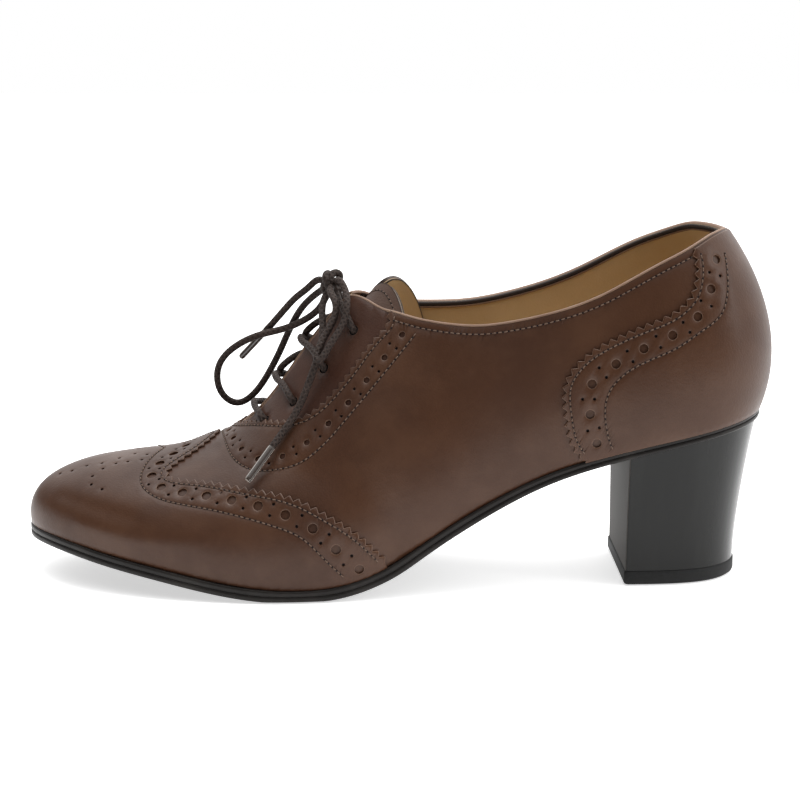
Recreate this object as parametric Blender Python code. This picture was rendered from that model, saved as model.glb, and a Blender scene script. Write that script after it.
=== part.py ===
# A heeled wing-tip oxford, left foot.
# Metres, +Z up, toe towards -X, outer side of the foot towards -Y.
# The floor is z = 0 and the origin lies under the middle of the heel.

import math

import bmesh
import bpy
import numpy as np
from mathutils import Vector
from mathutils.geometry import delaunay_2d_cdt

# Driving sizes
LENGTH = 0.2450
BALL_WIDTH = 0.0780
INSTEP = 0.0900
TOE_SPRING = 0.0120
SEAT_RISE = 0.0528

GAP = 0.0003
WALL = 0.0020
FACING_STEP = 0.0008
OVERLAY = 0.0009
OVERLAY_GAP = 0.0006
SOLE = 0.0040
SOLE_LEDGE = 0.0020
SOLE_ROUND = 0.0008
INSOLE = 0.0018
INSOLE_CLEAR = 0.0005

HEEL_BREAST = -0.0199
HEEL_RAKE = 0.0059
HEEL_NARROWING = 0.0037
HEEL_CURVE = 1.6  # how early down the heel its rake sets in
TOP_PIECE = 0.0045
TOP_PIECE_PROUD = 0.0004

TONGUE = 0.0020
TONGUE_CLEAR = 0.0008
TONGUE_DROP = 0.0040

LACE = 0.0023
LACE_LIFT = 0.0006
KNOT = 0.0084
KNOT_CLEAR = 0.0006
AGLET = 0.0023
AGLET_LENGTH = 0.0135

# Share of the length that lies in front of the origin
HEEL_CENTRE = 0.886

# Height of the feather line: share of the length, of the toe spring and of the seat's rise
BASE = (
    (0.000, 1.00, 0.000),
    (0.050, 0.95, 0.000),
    (0.108, 0.76, 0.000),
    (0.195, 0.45, 0.000),
    (0.264, 0.18, 0.000),
    (0.325, 0.01, 0.000),
    (0.380, -0.03, 0.000),
    (0.434, 0.00, 0.020),
    (0.460, 0.00, 0.055),
    (0.500, 0.00, 0.142),
    (0.531, 0.00, 0.236),
    (0.570, 0.00, 0.350),
    (0.609, 0.00, 0.455),
    (0.686, 0.00, 0.632),
    (0.782, 0.00, 0.775),
    (0.885, 0.00, 0.886),
    (0.967, 0.00, 0.968),
    (1.000, 0.00, 1.000),
)

# Sections of the last, from toe to back. Each joins a feather point to a ridge point.
# along: feather point, share of the length; outer, inner: half widths, shares of the ball width
# top: ridge point, share of the length; lean: slope of the wall at the feather, degrees
# belly, crown: how long each end of the section runs straight
SECTIONS = (
    # along, outer, inner, top, outer lean, inner lean, belly, crown
    (0.002, 0.000, 0.000, 0.112, 80, 80, 0.38, 0.62),
    (0.024, 0.160, 0.195, 0.122, 80, 80, 0.40, 0.60),
    (0.066, 0.280, 0.300, 0.143, 79, 79, 0.42, 0.58),
    (0.125, 0.375, 0.385, 0.176, 76, 76, 0.42, 0.56),
    (0.195, 0.447, 0.440, 0.216, 73, 74, 0.42, 0.54),
    (0.277, 0.494, 0.456, 0.256, 72, 73, 0.42, 0.52),
    (0.367, 0.508, 0.424, 0.294, 72, 74, 0.42, 0.52),
    (0.468, 0.466, 0.346, 0.345, 74, 72, 0.42, 0.50),
    (0.574, 0.404, 0.278, 0.440, 76, 70, 0.42, 0.50),
    (0.684, 0.362, 0.266, 0.560, 77, 72, 0.42, 0.50),
    (0.794, 0.344, 0.312, 0.690, 76, 75, 0.42, 0.50),
    (0.888, 0.322, 0.318, 0.795, 75, 75, 0.42, 0.52),
    (0.958, 0.222, 0.222, 0.860, 72, 72, 0.41, 0.56),
    (0.990, 0.000, 0.000, 0.884, 70, 70, 0.40, 0.60),
)

# Ridge over the vamp, up the throat and across the collar's mouth
# along: share of the length; height: over the feather line, share of the instep
# sideways: towards the inner side, share of the ball width
RIDGE = (
    (0.112, 0.267, 0.022),
    (0.163, 0.307, 0.033),
    (0.208, 0.348, 0.039),
    (0.250, 0.416, 0.042),
    (0.289, 0.496, 0.042),
    (0.320, 0.600, 0.040),
    (0.360, 0.763, 0.036),
    (0.400, 0.905, 0.031),
    (0.440, 1.008, 0.026),
    (0.500, 1.074, 0.018),
    (0.600, 1.044, 0.009),
    (0.700, 1.014, 0.002),
    (0.800, 1.004, 0.000),
    (0.850, 0.944, 0.000),
    (0.884, 0.856, 0.000),
)

# Lines on the last. row: place between sections, up: share of the section from feather to ridge
THROAT_ROW = 5.75
CORNER_ROW = 7.76
FACING_EDGE = ((5.75, 1.00), (5.95, 0.945), (6.20, 0.912), (6.60, 0.900), (7.20, 0.895), (7.76, 0.890))
VAMP_LINE = (
    (5.75, 0.945), (6.05, 0.78), (6.35, 0.67), (6.70, 0.61), (7.05, 0.60), (7.40, 0.62), (7.76, 0.69),
)
TOE_SPLIT = 0.80
# Rows over which the facings step down behind the vamp
STEP_ROWS = 0.4
# row, up on the outer side, up on the inner side
COLLAR = (
    (7.76, 0.690, 0.690),
    (7.92, 0.640, 0.650),
    (8.10, 0.572, 0.595),
    (8.50, 0.487, 0.522),
    (8.90, 0.446, 0.484),
    (9.45, 0.425, 0.464),
    (10.05, 0.435, 0.474),
    (10.70, 0.475, 0.510),
    (11.20, 0.522, 0.550),
    (11.70, 0.600, 0.618),
    (12.35, 0.700, 0.704),
    (13.00, 0.735, 0.735),
)
WING_LINE = (
    (4.90, 1.000), (4.38, 0.820), (4.08, 0.730), (3.88, 0.635), (4.55, 0.545), (5.23, 0.485),
    (6.03, 0.375), (6.48, 0.265), (6.83, 0.160), (7.05, 0.075), (7.18, 0.020),
)
COUNTER_LINE = (
    (9.50, 0.020), (9.38, 0.070), (9.33, 0.155), (9.36, 0.225), (9.53, 0.270), (9.85, 0.300),
    (10.43, 0.320), (10.78, 0.340), (11.05, 0.380), (11.18, 0.435), (11.20, 0.495),
)
# The counter stops this share of a section below the collar
COUNTER_BELOW = 0.022
# row, up of the tongue's edge, share of its drop behind the facings
TONGUE_LINE = (
    (5.20, 0.86, 0.00), (5.75, 0.77, 0.00), (6.50, 0.64, 0.10),
    (7.30, 0.56, 0.62), (7.80, 0.53, 1.20), (8.12, 0.52, 0.88),
)
# Rows that the tongue's corners fall short of its middle, and that its inner corner is ahead of its outer one
TONGUE_ROUND = 0.30
TONGUE_SKEW = 0.28
# Share of the length, share of the sole's ledge
LEDGE = ((0.0, 0.60), (0.1, 0.85), (0.3, 1.00), (0.45, 0.70), (0.6, 0.40), (0.8, 0.25), (1.0, 0.25))
# Share of the length, share of the sole's thickness
SUBSTANCE = ((0.0, 1.05), (0.3, 1.00), (0.55, 1.00), (0.75, 0.85), (1.0, 0.80))
# From the top of the sole's edge to its bottom: share of the rounding taken in, share of the depth
EDGE_STEPS = ((0.6, 0.00), (0.0, 0.16), (0.0, 0.42), (0.5, 0.50), (0.0, 0.58), (0.0, 0.82), (1.0, 1.00))

# Lace holes and where the straight bars cross the facing's edge: row, up, row at the edge
EYELETS = ((7.48, 0.715, 7.62), (7.03, 0.700, 7.18), (6.55, 0.720, 6.80), (6.08, 0.790, 6.28))
EDGE_UP = 0.905
TOP_EDGE_UP = 0.86

# Route points of the bow, in millimetres
KNOT_PLACE = (-115.6, -0.6, 96.2)
LOOP_OUTER = (
    (-113.0, -6.5, 97.8), (-111.1, -9.5, 95.2), (-110.4, -13.6, 91.8), (-110.8, -15.6, 87.9),
    (-112.2, -17.2, 84.2), (-114.3, -18.8, 80.9), (-116.3, -20.4, 77.8), (-118.0, -21.8, 75.2),
    (-119.3, -22.0, 74.1), (-119.9, -20.4, 75.4), (-119.1, -18.8, 78.0), (-117.4, -16.8, 81.3),
    (-115.5, -15.4, 84.6), (-114.2, -13.8, 87.9), (-114.2, -12.0, 91.4), (-115.8, -7.8, 94.2),
)
LOOP_INNER = (
    (-120.1, 3.6, 87.4), (-125.7, 6.0, 82.8), (-131.5, 7.4, 80.1), (-136.8, 8.0, 78.6),
    (-142.5, 9.0, 76.8), (-149.2, 10.4, 73.1), (-154.2, 11.8, 67.7), (-155.5, 12.8, 61.3),
    (-153.3, 13.4, 55.6), (-148.8, 13.8, 53.3), (-144.0, 14.0, 55.7), (-140.1, 14.0, 60.4),
    (-137.0, 13.8, 65.6), (-134.3, 13.2, 70.9), (-131.4, 12.2, 77.3), (-128.4, 10.6, 83.3),
    (-124.8, 8.4, 88.4), (-120.1, 5.0, 92.7),
)
END_OUTER = (
    (-118.4, -4.6, 90.6), (-118.6, -8.4, 85.8), (-118.4, -12.8, 80.3), (-119.4, -16.4, 75.7),
    (-120.7, -18.8, 71.6), (-122.8, -20.0, 65.9), (-125.4, -21.4, 59.7), (-128.5, -23.0, 54.5),
    (-131.3, -24.6, 50.7), (-134.1, -26.8, 47.1),
)
END_INNER = (
    (-120.4, 2.4, 96.9), (-123.8, 4.2, 94.1), (-127.8, 6.4, 90.7), (-131.9, 8.6, 86.3),
    (-135.9, 10.6, 81.6), (-138.6, 11.6, 78.6),
)
# Distance between the rings of a bar, a loop and an end
BAR_STEP = 0.0028
LOOP_STEP = 0.0042
END_STEP = 0.0050

COLUMNS = (20, 12, 22)
LOWER_ROWS = (0.0, 0.08, 0.18, 0.30, 0.44, 0.58, 0.72, 0.86, 1.0)
UPPER_ROWS = (0.0, 0.04, 0.5, 1.0)


def spline(xs, ys):
    xs = np.array(xs, float)
    ys = np.array(ys, float)
    count = len(xs)
    step = np.diff(xs)
    matrix = np.eye(count)
    right = np.zeros(count)
    for i in range(1, count - 1):
        matrix[i, i - 1:i + 2] = (step[i - 1], 2 * (step[i - 1] + step[i]), step[i])
        right[i] = 6 * ((ys[i + 1] - ys[i]) / step[i] - (ys[i] - ys[i - 1]) / step[i - 1])
    bend = np.linalg.solve(matrix, right)

    def value(x):
        x = np.asarray(x, float)
        i = np.clip(np.searchsorted(xs, x) - 1, 0, count - 2)
        t = x - xs[i]
        k = step[i]
        slope = (ys[i + 1] - ys[i]) / k - k * (2 * bend[i] + bend[i + 1]) / 6
        return (((bend[i + 1] - bend[i]) / (6 * k) * t + bend[i] / 2) * t + slope) * t + ys[i]

    return value


def ring_spline(ys):
    ys = np.array(ys, float)
    count = len(ys)
    eye = np.eye(count)
    matrix = 4 * eye + np.roll(eye, 1, 1) + np.roll(eye, -1, 1)
    bend = np.linalg.solve(matrix, 6 * (np.roll(ys, -1) - 2 * ys + np.roll(ys, 1)))

    def value(q):
        q = np.mod(q, count)
        i = np.floor(q).astype(int) % count
        j = (i + 1) % count
        t = q - np.floor(q)
        slope = ys[j] - ys[i] - (2 * bend[i] + bend[j]) / 6
        return (bend[j] - bend[i]) / 6 * t ** 3 + bend[i] / 2 * t ** 2 + slope * t + ys[i]

    return value


def table(rows):
    columns = list(zip(*rows))
    return [spline(columns[0], column) for column in columns[1:]]


def around(outer, inner, sign=1.0):
    forth = [sign * row[outer] for row in SECTIONS]
    back = [row[inner] for row in SECTIONS[-2:0:-1]]
    return ring_spline(forth + back)


HALF = len(SECTIONS) - 1
along_at = around(0, 0)
across_at = around(1, 2, -1.0)
top_at = around(3, 3)
lean_at = around(4, 5)
belly_at = around(6, 6)
crown_at = around(7, 7)
base_height = spline(
    [row[0] for row in BASE],
    [SOLE + GAP + TOE_SPRING * row[1] + SEAT_RISE * row[2] for row in BASE],
)
ridge_height = spline(
    [row[0] for row in RIDGE],
    [float(base_height(row[0])) + INSTEP * row[1] for row in RIDGE],
)
ridge_side = spline([row[0] for row in RIDGE], [BALL_WIDTH * row[2] for row in RIDGE])
ledge_at = spline([row[0] for row in LEDGE], [SOLE_LEDGE * row[1] for row in LEDGE])
substance_at = spline([row[0] for row in SUBSTANCE], [SOLE * row[1] for row in SUBSTANCE])


def place(share):
    return (share - HEEL_CENTRE) * LENGTH


def share_of(x):
    return x / LENGTH + HEEL_CENTRE


def foot(q):
    return place(along_at(q)), across_at(q) * BALL_WIDTH


def foot_outward(q):
    small = 0.001
    ahead = foot(q + small)
    behind = foot(q - small)
    tx = ahead[0] - behind[0]
    ty = ahead[1] - behind[1]
    length = np.hypot(tx, ty)
    return ty / length, -tx / length


def ridge_slopes(share):
    small = 0.0001
    rise = (ridge_height(share + small) - ridge_height(share - small)) / (2 * small * LENGTH)
    drift = (ridge_side(share + small) - ridge_side(share - small)) / (2 * small * LENGTH)
    return rise, drift


def last(q, v):
    # q runs round the ring: 0 at the toe, HALF at the back, 2 * HALF at the toe again
    q, v = np.broadcast_arrays(np.asarray(q, float), np.asarray(v, float))
    fx, fy = foot(q)
    ox, oy = foot_outward(q)
    fz = base_height(along_at(q))
    share = top_at(q)
    tx = place(share)
    ty = ridge_side(share)
    tz = ridge_height(share)
    rise, drift = ridge_slopes(share)
    lean = np.radians(lean_at(q))
    chord = np.sqrt((tx - fx) ** 2 + (ty - fy) ** 2 + (tz - fz) ** 2)
    plan = np.hypot(tx - fx, ty - fy)
    dx = (fx - tx) / plan
    dy = (fy - ty) / plan
    reach = (belly_at(q) * chord)[..., None]
    p0 = np.stack([fx, fy, fz], -1)
    p1 = p0 + reach * np.stack([ox * np.cos(lean), oy * np.cos(lean), np.sin(lean)], -1)
    p3 = np.stack([tx, ty, tz], -1)
    p2 = p3 + (crown_at(q) * plan)[..., None] * np.stack([dx, dy + dx * drift, dx * rise], -1)
    v = v[..., None]
    w = 1 - v
    return w ** 3 * p0 + 3 * w * w * v * p1 + 3 * w * v * v * p2 + v ** 3 * p3


def outward(q, v):
    q, v = np.broadcast_arrays(np.asarray(q, float), np.asarray(v, float))
    small = 0.002
    low = np.clip(v - small, 0.0, 1.0)
    high = np.clip(v + small, 0.0, 1.0)
    along = last(q + small, v) - last(q - small, v)
    up = last(q, high) - last(q, low)
    normal = np.cross(along, up)
    rise, drift = ridge_slopes(top_at(q))
    crest = np.stack([-rise, np.zeros_like(rise), np.ones_like(rise)], -1)
    normal = np.where((v > 0.995)[..., None], crest, normal)
    return normal / np.linalg.norm(normal, axis=-1, keepdims=True)


def skin(q, v, offset):
    return last(q, v) + outward(q, v) * np.asarray(offset, float)[..., None]


facing_up = spline(*zip(*FACING_EDGE))
vamp_up = spline(*zip(*VAMP_LINE))
collar_up = table(COLLAR)
tongue_edge, tongue_drop = table(TONGUE_LINE)


def split_up(q):
    # Top of the lower rows: inside the vamp, along the vamp's upper edge, then along the collar
    row = min(q, 2 * HALF - q)
    if row <= THROAT_ROW:
        return TOE_SPLIT + (VAMP_LINE[0][1] - TOE_SPLIT) * row / THROAT_ROW
    if row <= CORNER_ROW:
        return float(vamp_up(row))
    return float(collar_up[0 if q <= HALF else 1](row))


def edge_up(q):
    row = min(q, 2 * HALF - q, CORNER_ROW)
    return 1.0 if row <= THROAT_ROW else float(facing_up(row))


def wall_ups(q):
    middle = split_up(q)
    ups = [middle * share for share in LOWER_ROWS]
    if min(q, 2 * HALF - q) <= CORNER_ROW:
        ups += [middle + (edge_up(q) - middle) * share for share in UPPER_ROWS[2:]]
    return ups


def sole_bottom(x):
    share = share_of(x)
    small = 0.001
    slope = (base_height(share + small) - base_height(share - small)) / (2 * small * LENGTH)
    depth = substance_at(share) * np.sqrt(1 + slope ** 2)
    return np.maximum(base_height(share) - GAP - depth, 0.0)


def outline(q, offset):
    x, y = foot(q)
    ox, oy = foot_outward(q)
    return x + ox * offset, y + oy * offset


def column_rows():
    first = np.linspace(0, THROAT_ROW, COLUMNS[0] + 1)
    second = np.linspace(THROAT_ROW, CORNER_ROW, COLUMNS[1] + 1)[1:]
    third = np.linspace(CORNER_ROW, HALF, COLUMNS[2] + 1)[1:]
    return np.concatenate([first, second, third])


def ring_rows():
    half = column_rows()
    return np.concatenate([half, 2 * HALF - half[-2:0:-1]])


# Scene and materials
for item in list(bpy.data.objects):
    bpy.data.objects.remove(item, do_unlink=True)

shoe = bpy.data.collections.new("heeled_oxford_shoe")
bpy.context.scene.collection.children.link(shoe)

FINISHES = {
    "upper_leather": ((0.115, 0.056, 0.036), 0.42, 0.0),
    "overlay_leather": ((0.105, 0.050, 0.032), 0.40, 0.0),
    "lining_leather": ((0.30, 0.20, 0.10), 0.65, 0.0),
    "sole_leather": ((0.016, 0.016, 0.015), 0.45, 0.0),
    "heel_lacquer": ((0.014, 0.014, 0.013), 0.22, 0.0),
    "top_piece_rubber": ((0.012, 0.012, 0.012), 0.60, 0.0),
    "waxed_cord": ((0.040, 0.028, 0.024), 0.55, 0.0),
    "clear_plastic": ((0.55, 0.52, 0.48), 0.15, 0.0),
}


def finish(name):
    material = bpy.data.materials.get(name)
    if material is None:
        colour, roughness, metallic = FINISHES[name]
        material = bpy.data.materials.new(name)
        material.use_nodes = True
        shader = material.node_tree.nodes["Principled BSDF"]
        shader.inputs["Base Color"].default_value = (*colour, 1.0)
        shader.inputs["Roughness"].default_value = roughness
        shader.inputs["Metallic"].default_value = metallic
        material.diffuse_color = (*colour, 1.0)
    return material


def add_mesh(name, points, faces, look, sharp=40.0):
    bm = bmesh.new()
    verts = [bm.verts.new(Vector(point)) for point in points]
    for face in faces:
        ring = list(dict.fromkeys(face))
        if len(ring) > 2:
            bm.faces.new([verts[i] for i in ring])
    for vert in [v for v in bm.verts if not v.link_faces]:
        bm.verts.remove(vert)
    bmesh.ops.recalc_face_normals(bm, faces=bm.faces)
    mesh = bpy.data.meshes.new(name)
    bm.to_mesh(mesh)
    bm.free()
    mesh.shade_smooth()
    mesh.set_sharp_from_angle(angle=math.radians(sharp))
    mesh.materials.append(finish(look))
    item = bpy.data.objects.new(name, mesh)
    shoe.objects.link(item)
    return item


def add_shell(name, outer, inner, faces, look):
    # Two skins with the same faces, closed along every open edge
    count = len(outer)
    uses = {}
    for face in faces:
        ring = list(dict.fromkeys(face))
        for a, b in zip(ring, ring[1:] + ring[:1]):
            key = (min(a, b), max(a, b))
            uses[key] = uses.get(key, 0) + 1
    both = list(faces) + [tuple(i + count for i in face) for face in faces]
    rims = [(a, b, b + count, a + count) for (a, b), used in uses.items() if used == 1]
    return add_mesh(name, list(outer) + list(inner), both + rims, look)


def add_slab(name, rings, look):
    # Rings of one outline from top to bottom, each listed outer side then inner side
    count = len(rings[0][0])
    points = [point for ring in rings for side in ring for point in side]
    size = 2 * count

    def loop(level):
        start = level * size
        return list(range(start, start + count)) + list(range(start + size - 1, start + count - 1, -1))

    faces = []
    for level in range(len(rings) - 1):
        upper_loop = loop(level)
        lower_loop = loop(level + 1)
        for i in range(size):
            j = (i + 1) % size
            faces.append((upper_loop[i], upper_loop[j], lower_loop[j], lower_loop[i]))
    for level in (0, len(rings) - 1):
        start = level * size
        for i in range(count - 1):
            a = start + i
            b = start + count + i
            faces.append((a, a + 1, b + 1, b))
    merged = merge_points(points, faces)
    return add_mesh(name, merged[0], merged[1], look)


def merge_points(points, faces):
    places = {}
    kept = []
    index = []
    for point in points:
        key = tuple(round(float(c) * 1e7) for c in point)
        if key not in places:
            places[key] = len(kept)
            kept.append(point)
        index.append(places[key])
    return kept, [tuple(index[i] for i in face) for face in faces]


# Upper: one wall from the feather line to the throat and the collar
def upper():
    half = column_rows()
    throat = COLUMNS[0]
    corner = COLUMNS[0] + COLUMNS[1]
    end = len(half) - 1
    names = {}
    rows = []

    def vert(side, i, j):
        joined = i in (0, end) or (j == last_row and i <= throat)
        key = (abs(i) if joined else side * i, j)
        if key not in names:
            names[key] = len(rows)
            rows.append(spot(side, i, j))
        return names[key]

    last_row = len(LOWER_ROWS) + len(UPPER_ROWS) - 2

    def spot(side, i, j):
        q = half[i] if side > 0 else 2 * HALF - half[i]
        middle = split_up(q)
        step = 0.0
        if j < len(LOWER_ROWS):
            v = middle * LOWER_ROWS[j]
        else:
            v = middle + (edge_up(q) - middle) * UPPER_ROWS[j - len(LOWER_ROWS) + 1]
            step = FACING_STEP * min(1.0, max(0.0, (half[i] - THROAT_ROW) / STEP_ROWS))
        return (q, v, step)

    faces = []
    for side in (1, -1):
        for i in range(end):
            levels = last_row if i < corner else len(LOWER_ROWS) - 1
            for j in range(levels):
                faces.append((
                    vert(side, i, j), vert(side, i + 1, j),
                    vert(side, i + 1, j + 1), vert(side, i, j + 1),
                ))
    q, v, step = (np.array(column) for column in zip(*rows))
    outer = skin(q, v, -step)
    inner = skin(q, v, np.full_like(q, -WALL))
    add_shell("upper", outer, inner, faces, "upper_leather")


# Overlays: patches of the last's surface, laid out flat either from above or unrolled
def from_above(q, v):
    share = float(top_at(q))
    x, y = foot(q)
    return place(share) + (float(x) - place(share)) * (1 - v), float(y) * (1 - v)


def unrolled(q, v):
    rows_in_length = 9
    return q * LENGTH / rows_in_length, v * INSTEP


def inside(point, polygon):
    x, y = point
    odd = False
    for (x1, y1), (x2, y2) in zip(polygon, polygon[1:] + polygon[:1]):
        if (y1 > y) != (y2 > y) and x < (x2 - x1) * (y - y1) / (y2 - y1) + x1:
            odd = not odd
    return odd


def far_from(point, polygon, clear):
    for (x1, y1), (x2, y2) in zip(polygon, polygon[1:] + polygon[:1]):
        dx = x2 - x1
        dy = y2 - y1
        t = ((point[0] - x1) * dx + (point[1] - y1) * dy) / max(dx * dx + dy * dy, 1e-12)
        t = min(max(t, 0.0), 1.0)
        if math.hypot(point[0] - x1 - t * dx, point[1] - y1 - t * dy) < clear:
            return False
    return True


def nearest(point, points):
    return min(range(len(points)), key=lambda i: math.hypot(points[i][0] - point[0], points[i][1] - point[1]))


def add_patch(name, border, rows, chart, clear, look):
    edge = [chart(q, v) for q, v in border]
    spots = list(border)
    points = list(edge)
    for q in rows:
        for v in wall_ups(q):
            point = chart(q, v)
            if inside(point, edge) and far_from(point, edge, clear):
                spots.append((q, v))
                points.append(point)
    loop = list(range(len(edge)))
    result = delaunay_2d_cdt([Vector(p) for p in points], [], [loop], 1, 1e-7)
    sources = [source[0] if source else nearest(place, points) for place, source in zip(result[0], result[3])]
    q = np.array([spots[source][0] for source in sources])
    v = np.array([spots[source][1] for source in sources])
    outer = skin(q, v, np.full_like(q, OVERLAY_GAP + OVERLAY))
    inner = skin(q, v, np.full_like(q, OVERLAY_GAP))
    return add_shell(name, outer, inner, [tuple(face) for face in result[2]], look)


def mirrored(line):
    return [(2 * HALF - q, v) for q, v in reversed(line)]


def finer(line, step):
    result = [line[0]]
    for (q1, v1), (q2, v2) in zip(line, line[1:]):
        parts = max(1, math.ceil(abs(q2 - q1) / step))
        result += [(q1 + (q2 - q1) * k / parts, v1 + (v2 - v1) * k / parts) for k in range(1, parts + 1)]
    return result


def columns_between(low, high, margin=0.08):
    return [float(q) for q in column_rows() if low + margin < q < high - margin]


def wing_cap():
    reach, low = WING_LINE[-1]
    foot_run = [(q, low) for q in columns_between(0.0, reach)[::-1]]
    side = finer(WING_LINE, 0.3)[1:] + foot_run
    border = [WING_LINE[0]] + side + [(0.0, low)] + mirrored(side)
    rows = [q for q in ring_rows() if q < reach or q > 2 * HALF - reach]
    add_patch("wing_cap", border, rows, from_above, 0.0018, "overlay_leather")


def heel_counter():
    begin, low = COUNTER_LINE[0]
    start = COUNTER_LINE[-1][0]
    crest = columns_between(start, HALF)
    outer_run = [(q, float(collar_up[0](q)) - COUNTER_BELOW) for q in crest]
    inner_run = [(2 * HALF - q, float(collar_up[1](q)) - COUNTER_BELOW) for q in crest[::-1]]
    peak = [(float(HALF), float(collar_up[0](HALF)) - COUNTER_BELOW)]
    low_run = columns_between(begin, HALF)
    foot_run = [(2 * HALF - q, low) for q in low_run] + [(float(HALF), low)] + [(q, low) for q in low_run[::-1]]
    front = finer(COUNTER_LINE, 0.22)
    border = front + outer_run + peak + inner_run + mirrored(front) + foot_run
    rows = [q for q in ring_rows() if begin - 0.2 < q < 2 * HALF - begin + 0.2]
    add_patch("heel_counter", border, rows, unrolled, 0.0022, "overlay_leather")


# Sole: follows the feather line, level under the ball, with a rounded, grooved edge
def outsole():
    half = column_rows()
    rings = []
    for taken, depth in EDGE_STEPS:
        ring = []
        for side in (1, -1):
            q = half if side > 0 else 2 * HALF - half
            x, y = outline(q, ledge_at(along_at(q)) - SOLE_ROUND * taken)
            above = base_height(share_of(x)) - GAP
            z = above + (sole_bottom(x) - above) * depth
            ring.append(np.stack([x, y, z], -1))
        rings.append(ring)
    add_slab("outsole", rings, "sole_leather")


def insole():
    half = column_rows()
    rings = []
    for height in (INSOLE, 0.0):
        ring = []
        for side in (1, -1):
            q = half if side > 0 else 2 * HALF - half
            x, y = outline(q, np.full_like(q, -WALL - INSOLE_CLEAR))
            ring.append(np.stack([x, y, base_height(share_of(x)) + height], -1))
        rings.append(ring)
    add_slab("insole", rings, "lining_leather")


# Heel: the seat's outline, raked forward and narrowed down to the top piece
def seat_outline(count, first_row=8.5):
    q = np.linspace(first_row, HALF, 400)
    sides = []
    for side in (1, -1):
        turned = q if side > 0 else 2 * HALF - q
        x, y = outline(turned, ledge_at(along_at(turned)) - SOLE_ROUND - GAP)
        begin = int(np.argmax(x >= HEEL_BREAST))
        picks = np.round(np.linspace(begin, len(q) - 1, count)).astype(int)
        xs = x[picks]
        xs[0] = HEEL_BREAST
        sides.append((xs, y[picks]))
    return sides


def heel_section(sides, taper, proud):
    result = []
    for x, y in sides:
        length = x[-1] - HEEL_BREAST
        width = np.max(np.abs(y))
        along = 1 + (2 * proud - HEEL_RAKE * taper) / length
        across = 1 + (proud - HEEL_NARROWING * taper) / width
        result.append((HEEL_BREAST - proud + (x - HEEL_BREAST) * along, y * across))
    return result


def heel_taper(down):
    return 1 - (1 - down) ** HEEL_CURVE


def heel_block():
    sides = seat_outline(13)
    rings = []
    for down in (0.0, 0.12, 0.26, 0.42, 0.60, 0.80, 1.0):
        ring = []
        for x, y in heel_section(sides, heel_taper(down), 0.0):
            above = sole_bottom(x) - GAP
            below = TOP_PIECE + GAP
            ring.append(np.stack([x, y, above + (below - above) * down], -1))
        rings.append(ring)
    add_slab("heel_block", rings, "heel_lacquer")


def top_piece():
    sides = seat_outline(13)
    rings = []
    for height, proud in ((TOP_PIECE, 0.4), (TOP_PIECE * 0.8, 1.0), (TOP_PIECE * 0.2, 1.0), (0.0, 0.4)):
        section = heel_section(sides, 1.0, TOP_PIECE_PROUD * proud)
        rings.append([np.stack([x, y, np.full_like(x, height)], -1) for x, y in section])
    add_slab("top_piece", rings, "top_piece_rubber")


# Tongue: the same surface carried on behind the facings and past the throat. From the ridge
# to its sides each row sinks by one move, so that it keeps its width
def tongue():
    first = TONGUE_LINE[0][0]
    width = 13
    q = []
    v = []
    drop = []
    for part in np.linspace(0, 1, 15):
        for share in np.linspace(-1, 1, width):
            end = TONGUE_LINE[-1][0] - TONGUE_ROUND * share ** 2 + TONGUE_SKEW / 2 * share
            row = first + (end - first) * part
            q.append(row if share <= 0 else 2 * HALF - row)
            v.append(1 - (1 - float(tongue_edge(row))) * abs(share))
            drop.append(TONGUE_DROP * float(tongue_drop(row)))
    q = np.array(q)
    v = np.array(v)
    sunk = outward(np.minimum(q, 2 * HALF - q), np.ones_like(v)) * np.array(drop)[:, None]
    faces = []
    for a in range(len(q) - width):
        if a % width < width - 1:
            faces.append((a, a + 1, a + width + 1, a + width))
    depth = np.full_like(q, WALL + TONGUE_CLEAR)
    add_shell("tongue", skin(q, v, -depth) - sunk, skin(q, v, -depth - TONGUE) - sunk, faces, "upper_leather")


# Laces
def smooth_route(points, spacing):
    points = np.array(points, float)
    steps = np.linalg.norm(np.diff(points, axis=0), axis=1)
    marks = np.concatenate([[0], np.cumsum(np.sqrt(steps))])
    curves = [spline(marks, points[:, axis]) for axis in range(3)]
    fine = np.stack([curve(np.linspace(0, marks[-1], 400)) for curve in curves], -1)
    length = np.concatenate([[0], np.cumsum(np.linalg.norm(np.diff(fine, axis=0), axis=1))])
    count = max(3, int(round(length[-1] / spacing)) + 1)
    wanted = np.linspace(0, length[-1], count)
    return np.stack([np.interp(wanted, length, fine[:, axis]) for axis in range(3)], -1)


def add_tube(name, route, diameter, look):
    curve = bpy.data.curves.new(name, "CURVE")
    curve.dimensions = "3D"
    curve.bevel_depth = diameter / 2
    curve.bevel_resolution = 2
    curve.use_fill_caps = True
    line = curve.splines.new("POLY")
    line.points.add(len(route) - 1)
    for point, position in zip(line.points, route):
        point.co = (*[float(c) for c in position], 1.0)
    curve.materials.append(finish(look))
    item = bpy.data.objects.new(name, curve)
    shoe.objects.link(item)
    return item


def from_knot(point):
    centre = np.array(KNOT_PLACE) * 0.001
    away = np.array(point) - centre
    return centre + away / np.linalg.norm(away) * (KNOT / 2 + KNOT_CLEAR)


def lace_bars():
    lift = LACE / 2 + LACE_LIFT - FACING_STEP
    for number, (row, up, edge_row) in enumerate(EYELETS[1:], 2):
        route = []
        for q, v in ((row, up), (edge_row, EDGE_UP), (2 * HALF - edge_row, EDGE_UP), (2 * HALF - row, up)):
            route.append(skin(np.array(q), np.array(v), np.array(lift)))
        middle = (route[1] + route[2]) / 2
        middle += outward(np.array(edge_row), np.array(1.0)) * LACE * 0.6
        route.insert(2, middle)
        add_tube(f"lace_bar_{number}", smooth_route(route, BAR_STEP), LACE, "waxed_cord")


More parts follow.
